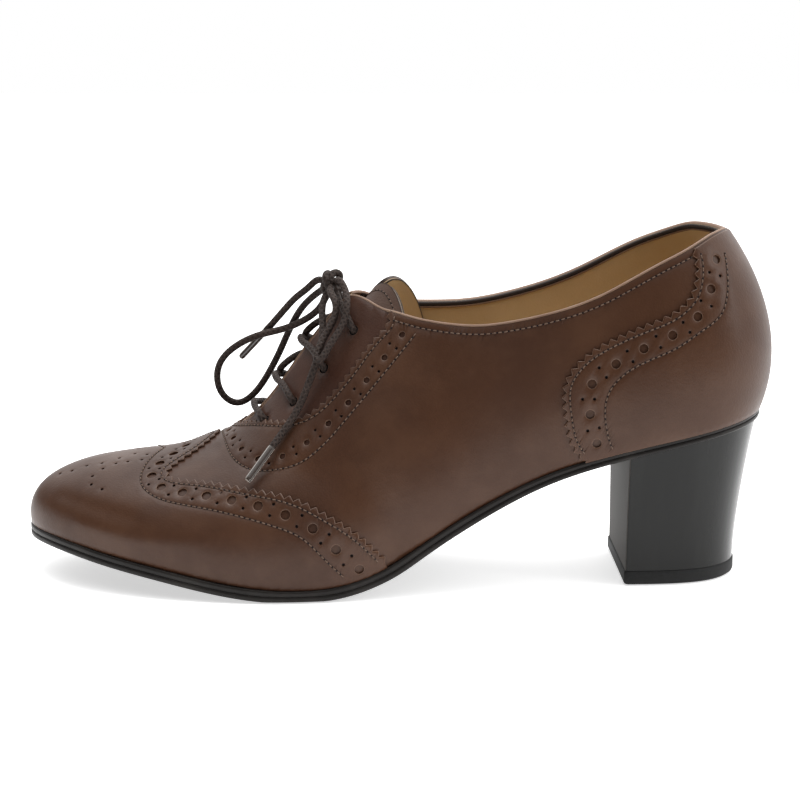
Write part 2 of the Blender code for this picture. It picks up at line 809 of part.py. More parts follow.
def lace_tops():
    lift = LACE / 2 + LACE_LIFT - FACING_STEP
    row, up, edge_row = EYELETS[0]
    for name, side in (("outer", 1), ("inner", -1)):
        q = row if side > 0 else 2 * HALF - row
        edge = edge_row if side > 0 else 2 * HALF - edge_row
        start = skin(np.array(q), np.array(up), np.array(lift))
        over = skin(np.array(edge), np.array(TOP_EDGE_UP), np.array(lift + LACE_LIFT))
        add_tube(f"lace_top_{name}", smooth_route([start, over, from_knot(over)], BAR_STEP), LACE, "waxed_cord")


def bow():
    bpy.ops.mesh.primitive_uv_sphere_add(segments=12, ring_count=8, radius=KNOT / 2)
    knot = bpy.context.active_object
    knot.name = "lace_knot"
    knot.data.name = "lace_knot"
    knot.location = [c * 0.001 for c in KNOT_PLACE]
    knot.data.materials.append(finish("waxed_cord"))
    knot.data.shade_smooth()
    for other in list(knot.users_collection):
        other.objects.unlink(knot)
    shoe.objects.link(knot)
    for name, points in (("outer", LOOP_OUTER), ("inner", LOOP_INNER)):
        route = [np.array(point) * 0.001 for point in points]
        route = [from_knot(route[0])] + route + [from_knot(route[-1])]
        add_tube(f"lace_loop_{name}", smooth_route(route, LOOP_STEP), LACE, "waxed_cord")
    for name, points in (("outer", END_OUTER), ("inner", END_INNER)):
        route = [np.array(point) * 0.001 for point in points]
        route = smooth_route([from_knot(route[0])] + route, END_STEP)
        add_tube(f"lace_end_{name}", route, LACE, "waxed_cord")
        ahead = (route[-1] - route[-2]) / np.linalg.norm(route[-1] - route[-2])
        start = route[-1] + ahead * GAP
        add_tube(f"aglet_{name}", [start, start + ahead * AGLET_LENGTH], AGLET, "clear_plastic")


upper()
outsole()
insole()
heel_block()
top_piece()
tongue()
wing_cap()
heel_counter()
lace_bars()
lace_tops()
bow()
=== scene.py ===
import math

import bpy
import numpy as np
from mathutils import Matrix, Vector, kdtree
from mathutils.geometry import delaunay_2d_cdt


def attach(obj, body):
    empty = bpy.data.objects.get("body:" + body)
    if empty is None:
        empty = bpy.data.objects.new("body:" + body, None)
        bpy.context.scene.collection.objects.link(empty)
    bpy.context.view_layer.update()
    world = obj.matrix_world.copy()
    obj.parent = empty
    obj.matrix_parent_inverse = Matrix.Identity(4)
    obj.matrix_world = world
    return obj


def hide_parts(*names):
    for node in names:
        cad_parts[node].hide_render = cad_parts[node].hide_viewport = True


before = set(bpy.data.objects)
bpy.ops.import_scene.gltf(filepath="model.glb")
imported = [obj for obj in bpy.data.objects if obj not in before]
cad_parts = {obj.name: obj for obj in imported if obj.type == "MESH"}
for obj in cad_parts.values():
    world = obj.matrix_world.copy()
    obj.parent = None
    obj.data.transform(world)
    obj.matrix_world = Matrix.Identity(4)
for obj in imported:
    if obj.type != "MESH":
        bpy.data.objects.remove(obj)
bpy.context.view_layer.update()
bpy.ops.object.select_all(action="DESELECT")

# The last: one surface that every piece of leather is laid on, in metres
lastShape = {
    "length": 0.2450,
    "ballWidth": 0.0780,
    "instep": 0.0900,
    "toeSpring": 0.0120,
    "seatRise": 0.0528,
    "heelCentre": 0.886,  # share of the length in front of the origin
    "sole": 0.0040,
    "gap": 0.0003,
    # along, share of the toe spring, share of the seat's rise
    "base": (
        (0.000, 1.00, 0.000), (0.050, 0.95, 0.000), (0.108, 0.76, 0.000), (0.195, 0.45, 0.000),
        (0.264, 0.18, 0.000), (0.325, 0.01, 0.000), (0.380, -0.03, 0.000), (0.434, 0.00, 0.020),
        (0.460, 0.00, 0.055), (0.500, 0.00, 0.142), (0.531, 0.00, 0.236), (0.570, 0.00, 0.350),
        (0.609, 0.00, 0.455), (0.686, 0.00, 0.632), (0.782, 0.00, 0.775), (0.885, 0.00, 0.886),
        (0.967, 0.00, 0.968), (1.000, 0.00, 1.000),
    ),
    # along, outer, inner, top, outer lean, inner lean, belly, crown
    "sections": (
        (0.002, 0.000, 0.000, 0.112, 80, 80, 0.38, 0.62),
        (0.024, 0.160, 0.195, 0.122, 80, 80, 0.40, 0.60),
        (0.066, 0.280, 0.300, 0.143, 79, 79, 0.42, 0.58),
        (0.125, 0.375, 0.385, 0.176, 76, 76, 0.42, 0.56),
        (0.195, 0.447, 0.440, 0.216, 73, 74, 0.42, 0.54),
        (0.277, 0.494, 0.456, 0.256, 72, 73, 0.42, 0.52),
        (0.367, 0.508, 0.424, 0.294, 72, 74, 0.42, 0.52),
        (0.468, 0.466, 0.346, 0.345, 74, 72, 0.42, 0.50),
        (0.574, 0.404, 0.278, 0.440, 76, 70, 0.42, 0.50),
        (0.684, 0.362, 0.266, 0.560, 77, 72, 0.42, 0.50),
        (0.794, 0.344, 0.312, 0.690, 76, 75, 0.42, 0.50),
        (0.888, 0.322, 0.318, 0.795, 75, 75, 0.42, 0.52),
        (0.958, 0.222, 0.222, 0.860, 72, 72, 0.41, 0.56),
        (0.990, 0.000, 0.000, 0.884, 70, 70, 0.40, 0.60),
    ),
    # along, height as a share of the instep, sideways as a share of the ball's width
    "ridge": (
        (0.112, 0.267, 0.022), (0.163, 0.307, 0.033), (0.208, 0.348, 0.039), (0.250, 0.416, 0.042),
        (0.289, 0.496, 0.042), (0.320, 0.600, 0.040), (0.360, 0.763, 0.036), (0.400, 0.905, 0.031),
        (0.440, 1.008, 0.026), (0.500, 1.074, 0.018), (0.600, 1.044, 0.009), (0.700, 1.014, 0.002),
        (0.800, 1.004, 0.000), (0.850, 0.944, 0.000), (0.884, 0.856, 0.000),
    ),
}


def unit(vectors):
    return vectors / np.linalg.norm(vectors, axis=-1, keepdims=True)


def marksAlong(points):
    # How far along the line each of its points lies
    return np.concatenate([[0], np.cumsum(np.linalg.norm(np.diff(points, axis=0), axis=1))])


def lengthOf(points):
    return float(np.sum(np.linalg.norm(np.diff(points, axis=0), axis=1)))


def spline(xs, ys):
    xs = np.array(xs, float)
    ys = np.array(ys, float)
    count = len(xs)
    step = np.diff(xs)
    matrix = np.eye(count)
    right = np.zeros(count)
    for i in range(1, count - 1):
        matrix[i, i - 1:i + 2] = (step[i - 1], 2 * (step[i - 1] + step[i]), step[i])
        right[i] = 6 * ((ys[i + 1] - ys[i]) / step[i] - (ys[i] - ys[i - 1]) / step[i - 1])
    bend = np.linalg.solve(matrix, right)

    def value(x):
        x = np.asarray(x, float)
        i = np.clip(np.searchsorted(xs, x) - 1, 0, count - 2)
        t = x - xs[i]
        k = step[i]
        slope = (ys[i + 1] - ys[i]) / k - k * (2 * bend[i] + bend[i + 1]) / 6
        return (((bend[i + 1] - bend[i]) / (6 * k) * t + bend[i] / 2) * t + slope) * t + ys[i]

    return value


def ringSpline(ys):
    ys = np.array(ys, float)
    count = len(ys)
    eye = np.eye(count)
    matrix = 4 * eye + np.roll(eye, 1, 1) + np.roll(eye, -1, 1)
    bend = np.linalg.solve(matrix, 6 * (np.roll(ys, -1) - 2 * ys + np.roll(ys, 1)))

    def value(q):
        q = np.mod(q, count)
        i = np.floor(q).astype(int) % count
        j = (i + 1) % count
        t = q - np.floor(q)
        slope = ys[j] - ys[i] - (2 * bend[i] + bend[j]) / 6
        return (bend[j] - bend[i]) / 6 * t ** 3 + bend[i] / 2 * t ** 2 + slope * t + ys[i]

    return value


def around(outer, inner, sign=1.0):
    rows = lastShape["sections"]
    return ringSpline([sign * row[outer] for row in rows] + [row[inner] for row in rows[-2:0:-1]])


backRow = len(lastShape["sections"]) - 1
fullRing = 2 * backRow
lastLength = lastShape["length"]
alongAt = around(0, 0)
acrossAt = around(1, 2, -1.0)
topAt = around(3, 3)
leanAt = around(4, 5)
bellyAt = around(6, 6)
crownAt = around(7, 7)
baseHeight = spline(
    [row[0] for row in lastShape["base"]],
    [lastShape["sole"] + lastShape["gap"] + lastShape["toeSpring"] * row[1] + lastShape["seatRise"] * row[2]
     for row in lastShape["base"]],
)
ridgeHeight = spline(
    [row[0] for row in lastShape["ridge"]],
    [float(baseHeight(row[0])) + lastShape["instep"] * row[1] for row in lastShape["ridge"]],
)
ridgeSide = spline(
    [row[0] for row in lastShape["ridge"]],
    [lastShape["ballWidth"] * row[2] for row in lastShape["ridge"]],
)


def placeOf(share):
    return (share - lastShape["heelCentre"]) * lastLength


def shareOf(x):
    return x / lastLength + lastShape["heelCentre"]


def footAt(q):
    return placeOf(alongAt(q)), acrossAt(q) * lastShape["ballWidth"]


def footOutward(q):
    small = 0.001
    ahead = footAt(q + small)
    behind = footAt(q - small)
    tx = ahead[0] - behind[0]
    ty = ahead[1] - behind[1]
    size = np.hypot(tx, ty)
    return ty / size, -tx / size


def ridgeSlopes(share):
    small = 0.0001
    span = 2 * small * lastLength
    rise = (ridgeHeight(share + small) - ridgeHeight(share - small)) / span
    drift = (ridgeSide(share + small) - ridgeSide(share - small)) / span
    return rise, drift


def lastPoint(q, v):
    # q runs round the ring: 0 toe, backRow heel, fullRing toe again; v is 0 at the sole, 1 on the ridge
    q, v = np.broadcast_arrays(np.asarray(q, float), np.asarray(v, float))
    fx, fy = footAt(q)
    ox, oy = footOutward(q)
    fz = baseHeight(alongAt(q))
    share = topAt(q)
    tx = placeOf(share)
    ty = ridgeSide(share)
    tz = ridgeHeight(share)
    rise, drift = ridgeSlopes(share)
    lean = np.radians(leanAt(q))
    chord = np.sqrt((tx - fx) ** 2 + (ty - fy) ** 2 + (tz - fz) ** 2)
    plan = np.hypot(tx - fx, ty - fy)
    dx = (fx - tx) / plan
    dy = (fy - ty) / plan
    reach = (bellyAt(q) * chord)[..., None]
    p0 = np.stack([fx, fy, fz], -1)
    p1 = p0 + reach * np.stack([ox * np.cos(lean), oy * np.cos(lean), np.sin(lean)], -1)
    p3 = np.stack([tx, ty, tz], -1)
    p2 = p3 + (crownAt(q) * plan)[..., None] * np.stack([dx, dy + dx * drift, dx * rise], -1)
    v = v[..., None]
    w = 1 - v
    return w ** 3 * p0 + 3 * w * w * v * p1 + 3 * w * v * v * p2 + v ** 3 * p3


def slopesAt(q, v):
    small = 0.001
    alongSlope = (lastPoint(q + small, v) - lastPoint(q - small, v)) / (2 * small)
    upSlope = (lastPoint(q, v + small) - lastPoint(q, v - small)) / (2 * small)
    return alongSlope, upSlope


def outwardAt(q, v):
    q, v = np.broadcast_arrays(np.asarray(q, float), np.asarray(v, float))
    alongSlope, upSlope = slopesAt(q, v)
    normal = np.cross(alongSlope, upSlope)
    rise, drift = ridgeSlopes(topAt(q))
    crest = np.stack([-rise, np.zeros_like(rise), np.ones_like(rise)], -1)
    normal = np.where((v > 0.995)[..., None], crest, normal)
    return unit(normal)


# Soft folds worn into the leather: line over the last, half width, depth (minus is a ridge)
creases = (
    (((7.30, 0.06), (7.10, 0.22), (6.80, 0.38)), 0.0050, 0.0007),
    (((7.75, 0.05), (7.60, 0.22), (7.35, 0.40)), 0.0060, -0.0005),
    (((6.75, 0.30), (6.30, 0.46), (5.70, 0.56)), 0.0040, 0.0005),
    (((5.60, 0.56), (5.20, 0.66), (4.90, 0.80)), 0.0045, 0.0004),
    (((3.40, 0.28), (2.60, 0.30), (1.60, 0.34)), 0.0050, 0.0005),
    (((4.60, 0.20), (3.60, 0.14), (2.40, 0.16)), 0.0050, -0.0004),
    (((8.40, 0.10), (8.25, 0.26), (8.00, 0.42)), 0.0070, 0.0005),
    (((8.90, 0.36), (9.30, 0.22), (9.25, 0.08)), 0.0070, 0.0004),
)
rowSize = 0.0240  # usual width of one row, and height from sole to ridge, in metres
upSize = 0.0800


def creaseDepth(q, v):
    row = np.minimum(q, fullRing - q)
    x = row * rowSize
    y = v * upSize
    total = np.zeros_like(x)
    for line, width, depth in creases:
        spots = np.array(line) * (rowSize, upSize)
        nearest = np.full_like(x, 1.0)
        for (x1, y1), (x2, y2) in zip(spots[:-1], spots[1:]):
            t = ((x - x1) * (x2 - x1) + (y - y1) * (y2 - y1)) / ((x2 - x1) ** 2 + (y2 - y1) ** 2)
            t = np.clip(t, 0, 1)
            nearest = np.minimum(nearest, np.hypot(x - x1 - t * (x2 - x1), y - y1 - t * (y2 - y1)))
        total += depth * np.exp(-(nearest / width) ** 2)
    return total


def onLast(q, v, lift):
    return lastPoint(q, v) + outwardAt(q, v) * (np.asarray(lift, float) - creaseDepth(q, v))[..., None]


def foldOver(q, v):
    # Past the ridge a place belongs to the other side
    over = v > 1
    return np.mod(np.where(over, fullRing - q, q), fullRing), np.where(over, 2 - v, v)


def shifted(q, v, move):
    alongSlope, upSlope = slopesAt(q, v)
    a = np.sum(alongSlope ** 2, -1)
    b = np.sum(alongSlope * upSlope, -1)
    c = np.sum(upSlope ** 2, -1)
    d = np.sum(alongSlope * move, -1)
    e = np.sum(upSlope * move, -1)
    size = a * c - b * b
    return foldOver(q + (d * c - e * b) / size, v + (a * e - b * d) / size)


def frontRing(row, across):
    # across is 0 on the ridge, 1 at the sole on the outer side and -1 on the inner side
    return np.where(across >= 0, row, fullRing - row), 1 - np.abs(across)


class Seam:
    # A curve on the last that is marked off in metres
    def __init__(self, marks, front=True):
        marks = np.array(marks, float)
        self.front = front
        steps = np.hypot(np.diff(marks[:, 0]) * rowSize, np.diff(marks[:, 1]) * upSize)
        turns = np.concatenate([[0], np.cumsum(np.sqrt(steps))])
        fine = np.linspace(0, turns[-1], 1600)
        self.a = spline(turns, marks[:, 0])(fine)
        self.b = spline(turns, marks[:, 1])(fine)
        self.marks = marksAlong(lastPoint(*self.ring(self.a, self.b)))
        self.length = self.marks[-1]

    def ring(self, a, b):
        return frontRing(a, b) if self.front else (a, b)

    def at(self, s):
        return self.ring(np.interp(s, self.marks, self.a), np.interp(s, self.marks, self.b))

    def heading(self, s):
        small = 0.0003
        ahead = lastPoint(*self.at(np.minimum(s + small, self.length)))
        behind = lastPoint(*self.at(np.maximum(s - small, 0)))
        return unit(ahead - behind)

    def beside(self, s, distance):
        # Positive distances lie to the left of the way the seam runs, seen from outside
        s = np.asarray(s, float)
        distance = np.broadcast_to(np.asarray(distance, float), s.shape)
        q, v = self.at(s)
        heading = self.heading(s)
        for _ in range(3):
            side = np.cross(outwardAt(q, v), heading)
            q, v = shifted(q, v, side * distance[..., None] / 3)
        return q, v

    def every(self, pitch, start=0.0, end=0.0):
        span = self.length - start - end
        count = max(2, int(round(span / pitch)) + 1)
        return np.linspace(start, self.length - end, count)


def bothSides(marks):
    return list(marks) + [(row, -across) for row, across in reversed(marks) if across != 0]


print("last ready")

# Camera, floor and light
studio = {
    "cameraPlace": (-0.09337, -0.5290, 0.1642),
    "cameraDip": 0.20,
    "lens": 72.9,
    "sensor": 36.0,
    "nearest": 0.01,
    "floorSize": 12.0,
    "floorFront": 0.33,  # how far it reaches toward the camera
    "floorDrop": 0.0004,
    "floorColours": ((0.93, 0.93, 0.93), (0.86, 0.86, 0.86)),
    "floorGlow": 0.58,
    "backdrop": 1.0,
    # light of the room: dark behind the camera, bright overhead and behind the shoe
    "skyLean": (0.35, 0.55, 1.0),
    "skyFade": {"From Min": 0.05, "From Max": 0.85, "To Min": 0.05, "To Max": 1.60},
    # name, place, aimed at, width, height, power
    "lamps": (
        ("overhead", (-0.10, 0.05, 0.95), (-0.10, 0.0, 0.03), 0.70, 0.50, 5.2),
        ("heelSide", (0.70, -0.30, 0.35), (0.0, 0.0, 0.04), 0.12, 0.50, 1.2),
    ),
}

cameraData = bpy.data.cameras.new("camera")
cameraData.sensor_width = studio["sensor"]
cameraData.lens = studio["lens"]
cameraData.clip_start = studio["nearest"]
camera = bpy.data.objects.new("camera", cameraData)
camera.location = studio["cameraPlace"]
camera.rotation_euler = (math.pi / 2 - studio["cameraDip"], 0, 0)
bpy.context.scene.collection.objects.link(camera)
bpy.context.scene.camera = camera

for lampName, lampPlace, lampAim, lampWidth, lampHeight, lampPower in studio["lamps"]:
    lampData = bpy.data.lights.new(lampName, "AREA")
    lampData.shape = "RECTANGLE"
    lampData.size = lampWidth
    lampData.size_y = lampHeight
    lampData.energy = lampPower
    lamp = bpy.data.objects.new(lampName, lampData)
    lamp.location = lampPlace
    lamp.rotation_euler = (Vector(lampAim) - Vector(lampPlace)).to_track_quat("-Z", "Y").to_euler()
    bpy.context.scene.collection.objects.link(lamp)

# The camera itself sees a plain white backdrop
world = bpy.data.worlds.new("studio")
world.use_nodes = True
room = world.node_tree
sky = room.nodes["Background"]
lean = room.nodes.new("ShaderNodeVectorMath")
lean.operation = "DOT_PRODUCT"
lean.inputs[1].default_value = studio["skyLean"]
room.links.new(room.nodes.new("ShaderNodeTexCoord").outputs["Generated"], lean.inputs[0])
height = room.nodes.new("ShaderNodeMapRange")
height.interpolation_type = "SMOOTHSTEP"
for slotName, slotValue in studio["skyFade"].items():
    height.inputs[slotName].default_value = slotValue
room.links.new(lean.outputs["Value"], height.inputs["Value"])
room.links.new(height.outputs["Result"], sky.inputs["Strength"])
backdrop = room.nodes.new("ShaderNodeBackground")
backdrop.inputs["Strength"].default_value = studio["backdrop"]
sky.inputs["Color"].default_value = (1, 1, 1, 1)
backdrop.inputs["Color"].default_value = (1, 1, 1, 1)
seen = room.nodes.new("ShaderNodeMixShader")
room.links.new(room.nodes.new("ShaderNodeLightPath").outputs["Is Camera Ray"], seen.inputs[0])
room.links.new(sky.outputs[0], seen.inputs[1])
room.links.new(backdrop.outputs[0], seen.inputs[2])
room.links.new(seen.outputs[0], room.nodes["World Output"].inputs["Surface"])
bpy.context.scene.world = world
bpy.context.scene.view_settings.view_transform = "Standard"


# Materials
class Wire:
    # A socket that can stand in a sum
    def __init__(self, socket):
        self.socket = socket

    def maths(self, operation, *values):
        tree = self.socket.id_data
        node = tree.nodes.new("ShaderNodeMath")
        node.operation = operation
        for slot, value in zip(node.inputs, values):
            if isinstance(value, Wire):
                tree.links.new(value.socket, slot)
            else:
                slot.default_value = value
        return Wire(node.outputs[0])

    def __add__(self, other):
        return self.maths("ADD", self, other)

    def __radd__(self, other):
        return self.maths("ADD", other, self)

    def __sub__(self, other):
        return self.maths("SUBTRACT", self, other)

    def __rsub__(self, other):
        return self.maths("SUBTRACT", other, self)

    def __mul__(self, other):
        return self.maths("MULTIPLY", self, other)

    def __rmul__(self, other):
        return self.maths("MULTIPLY", other, self)

    def sine(self):
        return self.maths("SINE", self)

    def larger(self, other):
        return self.maths("MAXIMUM", self, other)

    def size(self):
        return self.maths("ABSOLUTE", self)

    def ramp(self, low, high):
        # 0 below low, 1 above high, smooth between
        tree = self.socket.id_data
        node = tree.nodes.new("ShaderNodeMapRange")
        node.interpolation_type = "SMOOTHSTEP"
        tree.links.new(self.socket, node.inputs["Value"])
        node.inputs["From Min"].default_value = low
        node.inputs["From Max"].default_value = high
        return Wire(node.outputs["Result"])


class Finish:
    def __init__(self, name):
        self.material = bpy.data.materials.new(name)
        self.material.use_nodes = True
        self.tree = self.material.node_tree
        self.shader = self.tree.nodes["Principled BSDF"]
        self.space = self.node("TexCoord")["Object"]

    def fill(self, slot, value):
        if isinstance(value, Wire):
            self.tree.links.new(value.socket, slot)
        elif slot.type == "RGBA":
            slot.default_value = (*value, 1)
        else:
            slot.default_value = value

    def node(self, kind, settings=None, values=None):
        node = self.tree.nodes.new("ShaderNode" + kind)
        for name, value in (settings or {}).items():
            setattr(node, name, value)
        for name, value in (values or {}).items():
            self.fill(node.inputs[name], value)
        return {slot.name: Wire(slot) for slot in node.outputs if slot.enabled}

    def noise(self, scale, detail, rough, space=None):
        values = {"Vector": space or self.space, "Scale": scale, "Detail": detail, "Roughness": rough}
        return list(self.node("TexNoise", None, values).values())[0]

    def blend(self, factor, first, second):
        node = self.tree.nodes.new("ShaderNodeMix")
        node.data_type = "RGBA"
        for index, value in ((0, factor), (6, first), (7, second)):  # its colour sockets are the last two
            self.fill(node.inputs[index], value)
        return Wire(node.outputs[2])

    def painted(self, name):
        # A value that the piece carries at its own points
        return self.node("Attribute", {"attribute_name": name})["Fac"]

    def relief(self, height, distance, strength, under=None):
        values = {"Height": height, "Distance": distance, "Strength": strength}
        if under is not None:
            values["Normal"] = under
        return self.node("Bump", None, values)["Normal"]

    def wear(self, values):
        for name, value in values.items():
            self.fill(self.shader.inputs[name], value)
        return self.material


def leather(name, main, deep, pale, edge, gloss=0.38, coat=0.07, grain=1.0):
    look = Finish(name)
    patches = look.noise(16.0, 3.0, 0.55).ramp(0.36, 0.66)
    clouds = look.noise(46.0, 4.0, 0.6).ramp(0.35, 0.72)
    fine = look.noise(900.0, 2.0, 0.6)
    pores = look.node("TexVoronoi", None, {"Vector": look.space, "Scale": 1500.0})["Distance"]
    colour = look.blend(patches * 0.55, main, deep)
    colour = look.blend(clouds * 0.35, colour, pale)
    colour = look.blend((fine - 0.5).size() * 0.35, colour, deep)
    # Cut edges take the edge colour. On the upper and facing leathers its pale tone is partly the raw cut
    # edge's own and partly a painted highlight of edges catching light from above
    rim = look.painted("rim")
    colour = look.blend(rim.ramp(0.35, 1.0) * 0.7, colour, edge)
    # The leather is painted darker in the dents of seams and hole edges as painted shade; the dents are also
    # rougher
    dentShade = look.painted("dentShade")
    colour = look.blend(dentShade.ramp(0.0, 1.0) * 0.55, colour, deep)
    roughness = gloss + patches * 0.08 + fine * 0.08 - clouds * 0.06 + dentShade * 0.1
    folds = look.noise(120.0, 3.0, 0.6)
    creasing = look.relief(folds, 0.00035 * grain, 0.30)
    skinGrain = look.relief(pores * 0.6 + fine * 0.6, 0.00009 * grain, 0.55, creasing)
    return look.wear({
        "Base Color": colour, "Roughness": roughness, "Normal": skinGrain,
        "Coat Weight": coat, "Coat Roughness": 0.28, "Specular IOR Level": 0.26,
    })


# Colours of each leather: main, deep, pale, edge; then gloss, coat and grain where they aren't the usual ones
hides = {
    # The pale edge colours of the upper and facing are partly a painted highlight of their cut edges
    "upper_leather": ((0.060, 0.024, 0.011), (0.036, 0.013, 0.006), (0.112, 0.055, 0.031), (0.20, 0.12, 0.08)),
    "facing_leather": ((0.056, 0.021, 0.011), (0.034, 0.012, 0.007), (0.112, 0.058, 0.038), (0.20, 0.12, 0.08)),
    "tongue_leather": ((0.100, 0.056, 0.040), (0.055, 0.027, 0.018), (0.190, 0.120, 0.088),
                       (0.016, 0.010, 0.008)),
    # The folded edge's pale tan is a painted highlight: brown leather folded over, catching light from above
    "folded_edge_highlight": ((0.250, 0.155, 0.105), (0.150, 0.082, 0.055), (0.380, 0.265, 0.185), (0.24, 0.15, 0.10),
                    0.45),
    "lining_leather": ((0.62, 0.45, 0.25), (0.50, 0.35, 0.19), (0.70, 0.53, 0.32), (0.30, 0.20, 0.11),
                       0.62, 0.0, 0.7),
    "edge_binding": ((0.030, 0.020, 0.016), (0.018, 0.012, 0.010), (0.055, 0.038, 0.030), (0.06, 0.04, 0.03),
                     0.5, 0.05),
}
upperLook, facingLook, tongueLook, foldHighlightLook, liningLook, bindingLook = [
    leather(name, *values) for name, values in hides.items()]
braiding = {"strands": 4, "pitch": 3400.0}


def blackSole():
    look = Finish("sole_ink")
    fine = look.noise(700.0, 3.0, 0.6)
    broad = look.noise(60.0, 3.0, 0.6)
    colour = look.blend(broad.ramp(0.4, 0.7), (0.009, 0.007, 0.006), (0.018, 0.015, 0.013))
    return look.wear({
        "Base Color": colour, "Roughness": 0.34 + fine * 0.16,
        "Normal": look.relief(fine, 0.00006, 0.5, look.relief(broad, 0.0004, 0.2)),
        "Coat Weight": 0.05, "Coat Roughness": 0.3, "Specular IOR Level": 0.20,
    })


def blackHeel():
    look = Finish("heel_lacquer")
    stretched = look.node("Mapping", None, {"Vector": look.space, "Scale": (60.0, 60.0, 9.0)})["Vector"]
    streaks = look.noise(1.0, 4.0, 0.6, stretched)
    fine = look.noise(500.0, 2.0, 0.5)
    colour = look.blend(streaks.ramp(0.4, 0.75) * 0.6, (0.0075, 0.0075, 0.0070), (0.018, 0.018, 0.017))
    return look.wear({
        "Base Color": colour, "Roughness": 0.17 + streaks.ramp(0.45, 0.8) * 0.16,
        "Normal": look.relief(fine, 0.00004, 0.4, look.relief(streaks, 0.0006, 0.25)),
        "Coat Weight": 0.08, "Coat Roughness": 0.12, "Specular IOR Level": 0.20,
    })


def plainRubber(name, colour, roughness):
    look = Finish(name)
    fine = look.noise(800.0, 3.0, 0.6)
    shade = look.blend(fine.ramp(0.3, 0.7) * 0.5, colour, tuple(c * 1.7 for c in colour))
    return look.wear({
        "Base Color": shade, "Roughness": roughness + fine * 0.15, "Normal": look.relief(fine, 0.00008, 0.6),
        "Specular IOR Level": 0.20,
    })


def waxedCord(name, dark, light):
    look = Finish(name)
    route = look.node("SeparateXYZ", None, {"Vector": look.node("UVMap", {"uv_map": "route"})["UV"]})
    turn = route["X"] * (2 * math.pi * braiding["strands"])
    along = route["Y"] * braiding["pitch"]
    first = (turn + along).sine()
    second = (turn - along).sine()
    braid = first.larger(second)
    fine = look.noise(1800.0, 2.0, 0.6)
    worn = look.noise(90.0, 3.0, 0.6).ramp(0.35, 0.7)
    # The cord is painted lighter on its strands' crests and darker between them: painted shade of the braid
    colour = look.blend(braid.ramp(-0.3, 1.0) * 0.55 + worn * 0.35, dark, light)
    colour = look.blend(fine.ramp(0.5, 0.8) * 0.3, colour, tuple(c * 1.4 for c in light))
    return look.wear({
        "Base Color": colour, "Roughness": 0.52 + fine * 0.2,
        "Normal": look.relief(fine, 0.00005, 0.5, look.relief(braid, 0.00012, 0.8)),
        "Specular IOR Level": 0.20,
    })


def paintedClearTube():
    # The tube is opaque: its colour is painted dark in the middle, where the cord would show through clear
    # plastic, and pale towards its edges as a painted highlight of the light streaks along them
    look = Finish("clear_plastic")
    fine = look.noise(260.0, 2.0, 0.5)
    edgeHighlight = look.node("LayerWeight", None, {"Blend": 0.5})["Facing"]
    return look.wear({
        "Base Color": look.blend(edgeHighlight.ramp(0.25, 0.80), (0.045, 0.034, 0.028), (0.50, 0.46, 0.42)),
        "Roughness": 0.12 + fine * 0.10, "Normal": look.relief(fine, 0.00004, 0.1), "Coat Weight": 0.7,
        "Coat Roughness": 0.05,
    })


def thread(name, colour, dark):
    look = Finish(name)
    twist = look.noise(2500.0, 2.0, 0.6)
    return look.wear({
        "Base Color": look.blend(twist, dark, colour), "Roughness": 0.55 + twist * 0.15,
        "Normal": look.relief(twist, 0.00004, 0.6),
    })


soleLook = blackSole()
heelLook = blackHeel()
breastLook = plainRubber("heel_breast", (0.046, 0.042, 0.038), 0.6)
topPieceLook = plainRubber("top_piece_rubber", (0.012, 0.012, 0.012), 0.55)
# Near-black colour for the bottoms of holes and for needle holes: painted shade
holeShadeLook = plainRubber("hole_shade", (0.012, 0.009, 0.009), 0.75)
cordLook = waxedCord("waxed_cord", (0.017, 0.011, 0.009), (0.058, 0.040, 0.033))
aglet = paintedClearTube()
threadLook = thread("upper_thread", (0.170, 0.105, 0.068), (0.085, 0.048, 0.031))
print("materials ready")


# Mesh helpers
def addPiece(name, points, faces, look, nodes=(), sharp=35.0, values=None):
    # values lie on the points: rim is 1 on a cut edge, and the dent value is 1 in a dent, where the leather is
    # given painted shade
    plain = np.zeros(len(points))
    mesh = bpy.data.meshes.new(name)
    mesh.from_pydata([tuple(map(float, point)) for point in points], [],
                     [tuple(map(int, face)) for face in faces])
    for key, numbers in (values or {"rim": plain, "dentShade": plain}).items():
        layer = mesh.attributes.new(key, "FLOAT", "POINT")
        layer.data.foreach_set("value", np.asarray(numbers, np.float32))
    mesh.shade_smooth()
    mesh.set_sharp_from_angle(angle=math.radians(sharp))
    mesh.materials.append(look)
    piece = bpy.data.objects.new(name, mesh)
    bpy.context.scene.collection.objects.link(piece)
    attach(piece, "root")
    if nodes:
        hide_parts(*nodes)
    return piece


def tubeFaces(rings, sides, start=0, turned=False):
    # A closed run of rings with a cap at each end
    faces = []
    for first in range(start, start + (rings - 1) * sides, sides):
        for j in range(sides):
            k = (j + 1) % sides
            faces.append((first + j, first + k, first + sides + k, first + sides + j))
    faces.append(tuple(range(start, start + sides))[::-1])
    faces.append(tuple(range(start + (rings - 1) * sides, start + rings * sides)))
    return [face[:1] + face[:0:-1] for face in faces] if turned else faces


def treeOf(points):
    tree = kdtree.KDTree(len(points))
    for index, point in enumerate(points):
        tree.insert(point, index)
    tree.balance()
    return tree


def chartOf(q, v):
    # Lays the last's skin flat: every section fans out from the ridge
    share = topAt(q)
    tx = placeOf(share)
    ty = ridgeSide(share)
    fx, fy = footAt(q)
    plan = np.hypot(fx - tx, fy - ty)
    rise = ridgeHeight(share) - baseHeight(alongAt(q))
    reach = 1.12 * np.hypot(plan, rise) * (1 - v) / plan
    return np.stack([tx + (fx - tx) * reach, ty + (fy - ty) * reach], -1)


def within(points, polygon):
    x, y = points[:, 0], points[:, 1]
    odd = np.zeros(len(points), bool)
    for (x1, y1), (x2, y2) in zip(polygon, np.roll(polygon, -1, 0)):
        if y1 != y2:
            crossing = ((y1 > y) != (y2 > y)) & (x < (x2 - x1) * (y - y1) / (y2 - y1) + x1)
            odd ^= crossing
    return odd


